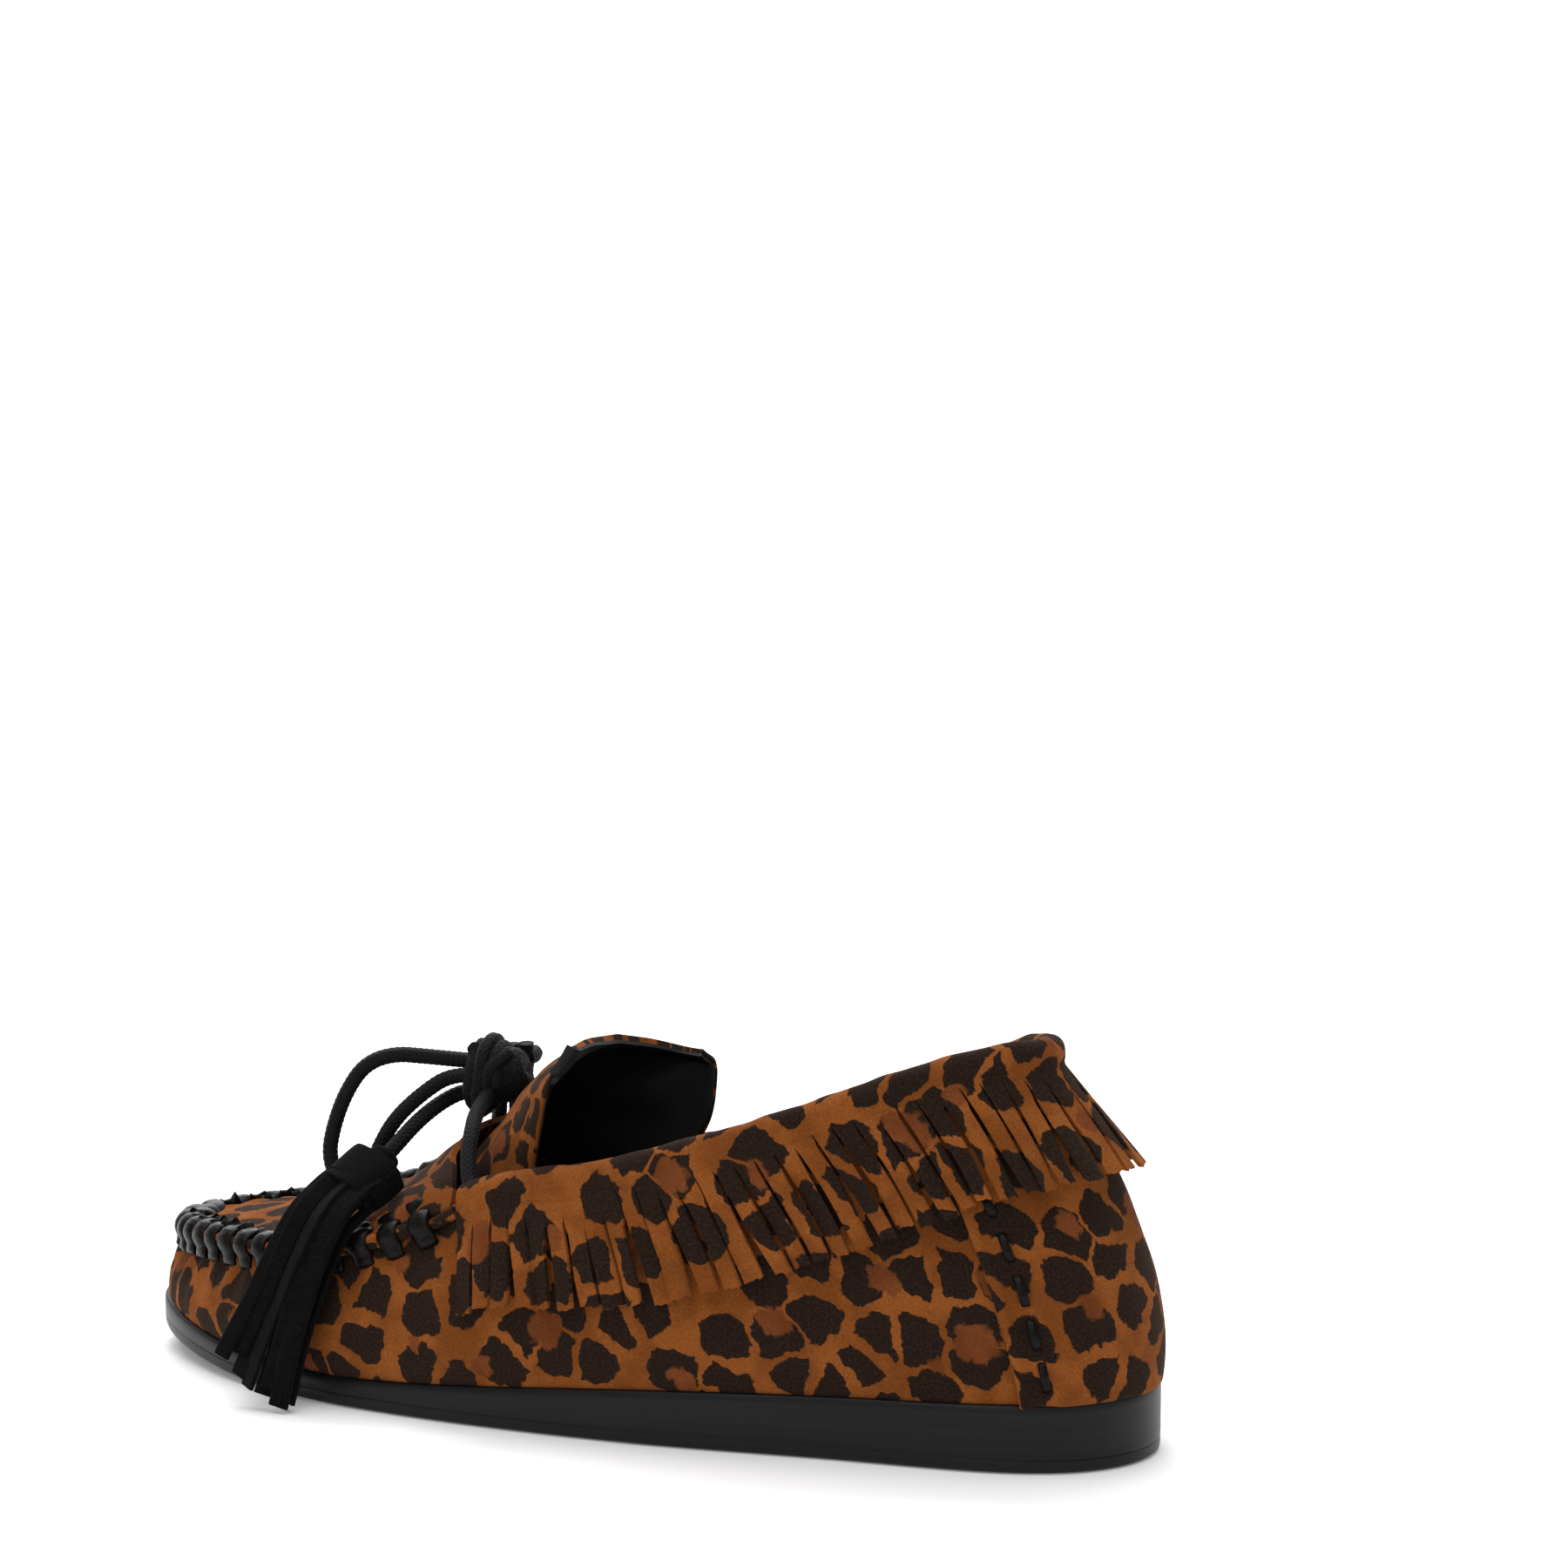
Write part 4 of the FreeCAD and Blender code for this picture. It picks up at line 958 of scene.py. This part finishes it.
def side_wall():
    """One long strip of suede; the whipstitch gathers its top edge into small swellings."""
    angle = np.linspace(0.7, 359.3, 1000)[:, None]
    s = np.linspace(0, 1, 56)[None, :]
    grid = wall(angle, s)
    along = arc_length(grid, 28)[:, None]
    height = s * wall_height(angle)
    below = (1 - s) * wall_height(angle)
    y = grid[..., 1]
    gather = smooth(y, [(-124, 1.25), (-80, 0.9), (-35, 0.5)]) * between_stitches(angle)
    gather = gather * np.exp(-below / 6.5)
    tuck = -0.9 * np.exp(-below / 2.5) * (np.abs(angle - 180) < 80)
    lumps = 0.3 * ripple(along, height, 26, 11) + 0.12 * ripple(along, height, 9, 12)
    relief = gather + tuck + lumps * ramp(s * 6) * ramp(below / 4)
    grid = grid + face_normals(grid) * -relief[..., None]
    rings = sheet_rings(grid, SUEDE, side=-1)
    leather("side_wall_leather", [(rings, sheet_cut(along, height))], "side_wall")


def apron():
    """The plug: domed, puckered towards the seam, and creased where it climbs to the instep."""
    w = np.linspace(-0.975, 0.975, 110)[None, :]
    back = PLUG_BACK_ANGLE + 4.6 * ramp((1 - np.abs(w)) * 1.6)
    angle = 178.6 + (back - 178.6) * np.linspace(0, 1, 300)[:, None]
    grid = plug(angle, np.broadcast_to(w, (300, 110)))
    across = grid[..., 0]
    along = arc_length(grid, 55)[:, None]
    seam_angle = np.where(w > 0, angle, 360 - angle)
    width = np.linalg.norm(top_edge(angle) - top_edge(360 - angle), axis=-1)
    edge_distance = (1 - np.abs(w)) * width / 2
    pucker = 0.9 * between_stitches(seam_angle) * np.exp(-edge_distance / 4.5)
    sunk = -0.5 * np.exp(-((edge_distance - 6) / 3.0) ** 2)
    creases = 0.3 * ripple(across * 0.35, along, 11, 21) * ramp(edge_distance / 8)
    relief = pucker + sunk + creases + 0.35 * ripple(across, along, 24, 22) * ramp(edge_distance / 5)
    grid = grid + face_normals(grid) * relief[..., None]
    rings = sheet_rings(grid, SUEDE, side=1)
    leather("apron_leather", [(rings, sheet_cut(along + 431, across + 77))], "apron")


def seam_ridge():
    """Both raw edges at the moc seam, turned up side by side under the whipstitch."""
    angle = np.linspace(STITCHES[0] - 5, STITCHES[-1] + 5, 620)
    top = top_edge(angle)
    out = wall_outward(angle)
    squeeze = between_stitches(angle)
    bundles = []
    for offset, lift, shift in ((1.0, 0.2, 0), (-1.15, 0.75, 60)):
        line = top + out * (offset * (1 + 0.22 * squeeze))[:, None] + vec(0, 0, lift + 0.55 * squeeze)
        rings = strap_rings(line, out, 1.15 + 0.2 * squeeze, 1.5 + 0.3 * squeeze, 14, 0.85)
        bundles.append((rings, strap_cut(rings, (120 + shift, 300))))
    leather("seam_ridge", bundles)


def inner_foot(angle):
    """Where a stitch lands on the apron, 5.5 mm inside the seam."""
    if abs(angle - 180) < 13:
        return top_edge(np.array(angle)) - wall_outward(np.array(angle)) * 5.5 + vec(0, 0, 1.7)
    seam = max(min(angle, 360 - angle), 100)
    return plug(np.array(float(seam)), 0.86 if angle < 180 else -0.86)


def whipstitch():
    """Flat waxed lace wrapped over the ridge, one slanting turn at a time."""
    draw = np.random.default_rng(17)
    bundles = []
    for angle in STITCHES:
        rise = one_degree(angle)
        step = np.linalg.norm(rise)
        y = top_edge(np.array(angle))[1]
        slant = 1.9 / step * (1 if angle < 180 else -1) * draw.uniform(0.8, 1.2)
        out = wall_outward(np.array(angle))
        top = top_edge(np.array(angle))
        foot = inner_foot(angle + slant)
        height = float(wall_height(np.array(angle)))
        low = wall(angle - slant * 1.2, 1 - 3.9 / height)
        mid = wall(angle - slant * 0.8, 1 - 2.0 / height)
        lean = unit(rise) * slant * step
        path = through([low - out * 1.6, low + out * 0.35, mid + out * 1.0,
                        top + out * 2.55 + vec(0, 0, 0.9) - lean * 0.3,
                        top + out * 0.9 + vec(0, 0, 3.0),
                        top - out * 1.7 + vec(0, 0, 3.25) + lean * 0.3,
                        foot + out * 1.3 + vec(0, 0, 1.5) + lean * 0.5,
                        foot - out * 0.4 + vec(0, 0, 0.5) + lean * 0.8,
                        foot - out * 1.6 + vec(0, 0, -1.6) + lean], 26)
        t = np.linspace(0, 1, 26)
        width = smooth(y, [(-124, 2.9), (-60, 2.8), (-35, 3.2)]) * draw.uniform(0.92, 1.06)
        half = width * (0.72 + 0.28 * np.sin(math.pi * t) ** 0.7)
        rings = strap_rings(path, unit(rise), half, 0.75 + 0.5 * np.sin(math.pi * t), 16, 0.9)
        bundles.append((rings, strap_cut(rings, (draw.uniform(0, 200), 0))))
    put(mesh_piece("whipstitch_lace", bundles), "shoe", LACE_LEATHER, "lacing_leather", "moc_whipstitch")


side_wall()
apron()
seam_ridge()
whipstitch()

# ---- Heel patch ----
PATCH_ANGLE = 33.0
PATCH_SPREAD = 4.5
PATCH_TOP = 0.80
SPREAD_OVER = 0.76


def patch_angle(s):
    return PATCH_ANGLE + PATCH_SPREAD * s / SPREAD_OVER


def heel_patch():
    """A counter patch laid over the back seam, its side edges folded under into a raised bead."""
    u = np.linspace(-1, 1, 240)[:, None]
    s = np.linspace(0, PATCH_TOP, 56)[None, :]
    grid = wall(u * patch_angle(s), s)
    along = arc_length(grid, 20)[:, None]
    height = s * wall_height(u * patch_angle(s))
    from_edge = (1 - np.abs(u)) * along[-1] / 2
    bead = 1.1 * np.exp(-((from_edge - 1.0) / 1.25) ** 2)
    bead = bead - 0.35 * np.exp(-((from_edge - 3.2) / 1.0) ** 2)
    stitched = -0.45 * np.exp(-((from_edge - LACING_INSET) / 1.8) ** 2) * np.cos(2 * math.pi * height / 6.6) ** 2
    relief = SKIN_GAP + SUEDE + bead + stitched + 0.2 * ripple(along, height, 16, 31) * ramp(from_edge / 6)
    grid = grid - face_normals(grid) * relief[..., None]
    rings = sheet_rings(grid, SUEDE + 0.3, side=-1)
    leather("heel_patch_leather", [(rings, sheet_cut(along + 700, height + 13))], "heel_patch")


LACING_INSET = 5.6
LACING_DASH = 6.4
LACING_GAP = 3.1


def heel_lacing(sign, name, node):
    """Running stitches of flat lace down the patch, diving into it at both ends."""
    draw = np.random.default_rng(23 if sign > 0 else 24)
    bundles = []
    full = float(wall_height(np.array(30.0)))
    low = 3.0
    while low + LACING_DASH < PATCH_TOP * full - 3:
        s = np.linspace(low, low + LACING_DASH * draw.uniform(0.92, 1.08), 16) / full
        angle = sign * (patch_angle(s) - 4.9 + draw.uniform(-0.25, 0.25))
        base = wall(angle, s)
        out = outward_of(sole_outline, angle, 0.4, 0)
        lift = SKIN_GAP + SUEDE - 1.3 + 2.3 * np.sin(np.linspace(0, math.pi, 16)) ** 0.45
        path = base + out * lift[:, None]
        side = unit(wall(angle + 0.5, s) - base)
        rings = strap_rings(path, side, 1.05 * draw.uniform(0.9, 1.1), 0.55, count=12)
        bundles.append((rings, strap_cut(rings, (draw.uniform(0, 200), 0))))
        low += LACING_DASH + LACING_GAP
    put(mesh_piece(name, bundles), "shoe", LACE_LEATHER, "lacing_leather", node)


heel_patch()
heel_lacing(1, "heel_lace_outer", "heel_lacing_outer")
heel_lacing(-1, "heel_lace_inner", "heel_lacing_inner")

# ---- Collar: one strip of suede folded over the top line and the lace, and cut into a fringe ----
FOLD_RADIUS = 2.95
COLLAR_LEATHER = 1.15
HEM = 1.6
LEG_LINE = [(HEM, -BAND_DEPTH), (1.7, -0.1), (1.84, 0.8)]
INNER_LINE = [(-3.75, -0.5), (-3.15, -3), (-3.02, -8)]


def shear(angle, depth):
    """How far back, in degrees, a strip runs at this depth: not at all at the front, where it hangs
    upright, and nearly square to the sloping edge behind."""
    rise = top_edge(angle + 0.5) - top_edge(angle - 0.5)
    per_degree = np.linalg.norm(rise, axis=-1)
    leaning = smooth(top_edge(angle)[..., 1], [(-30, 0.0), (0, 0.3), (35, 0.75), (60, 0.9)])
    return rise[..., 2] / per_degree**2 * np.clip(depth, 0, None) * leaning


def hang(angle, depth, n):
    """Point n outside the wall and this deep below its top edge (above it, if negative)."""
    moved = angle + shear(angle, depth)
    s = 1 - np.clip(depth, 0, None) / wall_height(moved)
    up = np.clip(-depth, 0, None)
    return wall(moved, s) + wall_outward(moved) * np.asarray(n)[..., None] + vec(0, 0, up)


def band_arc(angle):
    """Distance along the band from its outer front end, for places on the hide."""
    fine = np.linspace(COLLAR_FRONT_ANGLE + 2, -COLLAR_FRONT_ANGLE - 2, 1200)
    line = wall(fine, 0.8)
    travelled = distances(line)
    return np.interp(-angle, -fine, travelled)


def collar_band():
    turn = np.radians(np.linspace(0, 180, 9))[:, None]
    arc = np.concatenate([FOLD_MIDDLE + FOLD_RADIUS * np.cos(turn),
                          LACE_LEVEL + FOLD_RADIUS * np.sin(turn)], axis=1)
    line = through(LEG_LINE + arc.tolist() + INNER_LINE, 44)
    along = unit(np.gradient(line, axis=0))
    normal = np.stack([along[:, 1], -along[:, 0]], -1)
    angle = np.linspace(COLLAR_FRONT_ANGLE, -COLLAR_FRONT_ANGLE, 420)[:, None]
    travelled = distances(line)
    place = band_arc(angle)
    soft = 0.22 * ripple(place, travelled[None, :], 17, 41) + 0.1 * ripple(place, travelled[None, :], 6, 42)
    soft = soft * ramp(travelled / 3)[None, :]
    sides = []
    for half in (COLLAR_LEATHER / 2, -COLLAR_LEATHER / 2):
        n = line[None, :, 0] + normal[None, :, 0] * (half + soft)
        up = line[None, :, 1] + normal[None, :, 1] * (half + soft)
        sides.append(hang(np.broadcast_to(angle, n.shape), -up, n))
    rings = np.concatenate([sides[0], sides[1][:, ::-1]], axis=1)
    cut = sheet_cut(place + 900, BAND_DEPTH - travelled[None, :], rounded=False)
    leather("collar_fold", [(rings, cut)], "collar_band")


# Where the slits begin, as a share of the strips' length: lower down at the front of the collar.
SLIT_START = [(-30, 0.16), (0, 0.08), (30, 0.02), (106, 0.0)]


def fringe():
    """Strips cut nearly up to the fold: each curls, leans and frays a little differently."""
    draw = np.random.default_rng(31)
    fine = COLLAR_FRONT_ANGLE * (1 - np.arange(2001) / 1000)
    travelled = distances(wall(fine, 0.8))
    count = int(travelled[-1] / FRINGE_PITCH)
    marks = np.interp(np.arange(count + 1) * travelled[-1] / count, travelled, fine)
    fall = np.linspace(0, 1, 22)[:, None]
    q = np.linspace(-1, 1, 7)[None, :]
    bundles = []
    for a, b in zip(marks, marks[1:]):
        middle, half = (a + b) / 2, (a - b) / 2
        degree = half * 2 / FRINGE_PITCH
        y = float(top_edge(np.array(middle))[1])
        reach = float(smooth(y, FRINGE_DEPTH)) + draw.uniform(-0.9, 0.8)
        slit = draw.uniform(-0.05, 0.2) + float(smooth(y, SLIT_START))
        open_slit = ramp((fall - slit) / 0.08)
        narrow = (0.34 + 0.1 * fall + draw.uniform(0, 0.4) * fall) * open_slit
        bend = draw.normal(0, 0.55) * fall**2 * open_slit
        bend = bend + 0.15 * np.sin(fall * 7 + draw.uniform(0, 6)) * open_slit
        angle = middle - q * (half - narrow * degree) + bend * degree
        fray = 0.35 * draw.uniform(-1, 1, (1, 7)) * (fall > 0.97)
        depth = BAND_DEPTH + (reach - BAND_DEPTH) * fall + fray
        curl = draw.uniform(-0.4, 1.5) * fall**2 + draw.uniform(-0.3, 0.6) * np.sin(math.pi * fall)
        twist = draw.normal(0, 0.42) * ramp(fall * 2) * q
        cup = draw.uniform(-0.1, 0.35) * fall * (1 - q**2)
        n = float(smooth(y, FRINGE_FLARE)) * fall + (curl + twist + cup) * open_slit
        n = np.maximum(n, 0)
        outer = hang(angle, depth, n + HEM + COLLAR_LEATHER / 2)
        inner = hang(angle, depth, n + HEM - COLLAR_LEATHER / 2)
        rings = np.concatenate([outer, inner[:, ::-1]], axis=1)
        place = band_arc(angle) + 900
        bundles.append((rings, sheet_cut(place, depth, rounded=False)))
    leather("fringe_strips", bundles, "fringe")


collar_band()
fringe()


def tongue():
    row = np.linspace(0, 5, 90)[:, None]
    w = np.linspace(0.995, -0.995, 100)[None, :]
    shape = tongue_point(np.broadcast_to(row, (90, 100)), np.broadcast_to(w, (90, 100)))
    along = arc_length(shape, 50)[:, None]
    across = w * 45
    corner = 1.4 * ramp((-w - 0.3) / 0.7) + 1.5 * ramp((w - 0.4) / 0.6)
    shape[..., 2] -= corner * ramp((row - 3.4) / 1.6)
    calm = ramp((1 - np.abs(w)) * 4) * ramp((5 - row) * 1.5)
    relief = (0.3 * ripple(across, along, 19, 51) + 0.12 * ripple(across, along, 8, 52)) * calm
    grid = shape + face_normals(shape) * relief[..., None]
    rings = sheet_rings(grid, SUEDE)
    suede = put(mesh_piece("tongue_leather", [(rings, sheet_cut(along + 300, across + 590))]), None,
                LEOPARD, "leopard_suede", "tongue")
    under = grid - face_normals(grid) * (SUEDE + 0.02)
    lining_rings = sheet_rings(under, LINING)
    black = put(mesh_piece("tongue_lining_leather", [(lining_rings, sheet_cut(along, across))]), None,
                BLACK_LINING, "lining_leather", "tongue_lining")
    for made in (suede, black):
        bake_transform(made)


tongue()


# ---- Linings ----
def quarter_lining():
    """Lining leather round the quarters, stepping in over the heel stiffener."""
    u = np.linspace(-1, 1, 300)[:, None]
    angle = u * COLLAR_FRONT_ANGLE
    top = 1 - 8.0 / wall_height(angle)
    v = np.linspace(0, 1, 40)[None, :]
    s = 0.08 + (top - 0.08) * v
    round_heel = ramp((66 - np.abs(angle)) / 12)
    low_down = ramp((0.8 - s) / 0.15)
    depth = SUEDE + 2 * SKIN_GAP + 1.25 * round_heel * low_down
    grid = wall(angle, s)
    along = arc_length(grid, 20)[:, None]
    depth = depth + 0.15 * (1 + ripple(along, s * 50, 15, 61))
    inside = grid + face_normals(grid) * depth[..., None]
    rings = sheet_rings(inside, LINING, side=-1)
    put(mesh_piece("quarter_lining_leather", [(rings, sheet_cut(along, s * 50))]), "shoe", BLACK_LINING,
        "lining_leather", "quarter_lining")


quarter_lining()

for node_name, finish in (("insole_board", BOARD_FIBRE), ("heel_cushion", HEEL_FOAM),
                          ("heel_counter", BOARD_FIBRE), ("vamp_lining", BLACK_LINING)):
    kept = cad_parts[node_name]
    kept.data.materials.clear()
    kept.data.materials.append(finish)


# ---- Studio ----
def studio():
    bend = np.linspace(0, math.pi / 2, 13)
    behind = 2.2 + 0.8 * np.sin(bend)
    profile = [(-6.0, 0.0)] + list(zip(behind, 0.8 - 0.8 * np.cos(bend))) + [(3.0, 4.0)]
    strips = range(len(profile) - 1)
    away = -back_vector(AIM_AZIMUTH, 0)
    across = Vector((-away.y, away.x, 0)) * 6
    corners = [away * run + Vector((0, 0, rise - 0.0002)) + side * across
               for run, rise in profile for side in (-1, 1)]
    sweep = bpy.data.meshes.new("floor")
    quads = [(2 * k, 2 * k + 1, 2 * k + 3, 2 * k + 2) for k in strips]
    sweep.from_pydata([tuple(c) for c in corners], [], quads)
    sweep.polygons.foreach_set("use_smooth", [True] * len(sweep.polygons))
    sweep.materials.append(pale_floor())
    paper = bpy.data.objects.new("floor", sweep)
    bpy.context.scene.collection.objects.link(paper)
    for name, place, aim, size, power in (
            ("overhead_softbox", (0.1, -0.1, 1.5), (0, 0, 0.03), 1.5, 14),
            ("front_softbox", (1.5, 0.3, 1.0), (0, 0, 0.05), 1.0, 4),
            ("back_softbox", (-1.2, -0.9, 1.1), (0, 0, 0.05), 1.0, 8),
            ("sweep_light", (-1.0, -0.5, 2.6), (-2.8, -1.35, 1.0), 1.5, 60)):
        light = bpy.data.lights.new(name, "AREA")
        light.shape = "SQUARE"
        light.size = size
        light.energy = power
        lamp = bpy.data.objects.new(name, light)
        lamp.location = place
        lamp.rotation_mode = "QUATERNION"
        lamp.rotation_quaternion = (Vector(aim) - Vector(place)).to_track_quat("-Z", "Y")
        bpy.context.scene.collection.objects.link(lamp)
    world = bpy.data.worlds.new("studio")
    world.use_nodes = True
    world.node_tree.nodes["Background"].inputs["Color"].default_value = (1, 1, 1, 1)
    world.node_tree.nodes["Background"].inputs["Strength"].default_value = 0.42
    bpy.context.scene.world = world
    bpy.context.scene.view_settings.view_transform = "Standard"


studio()
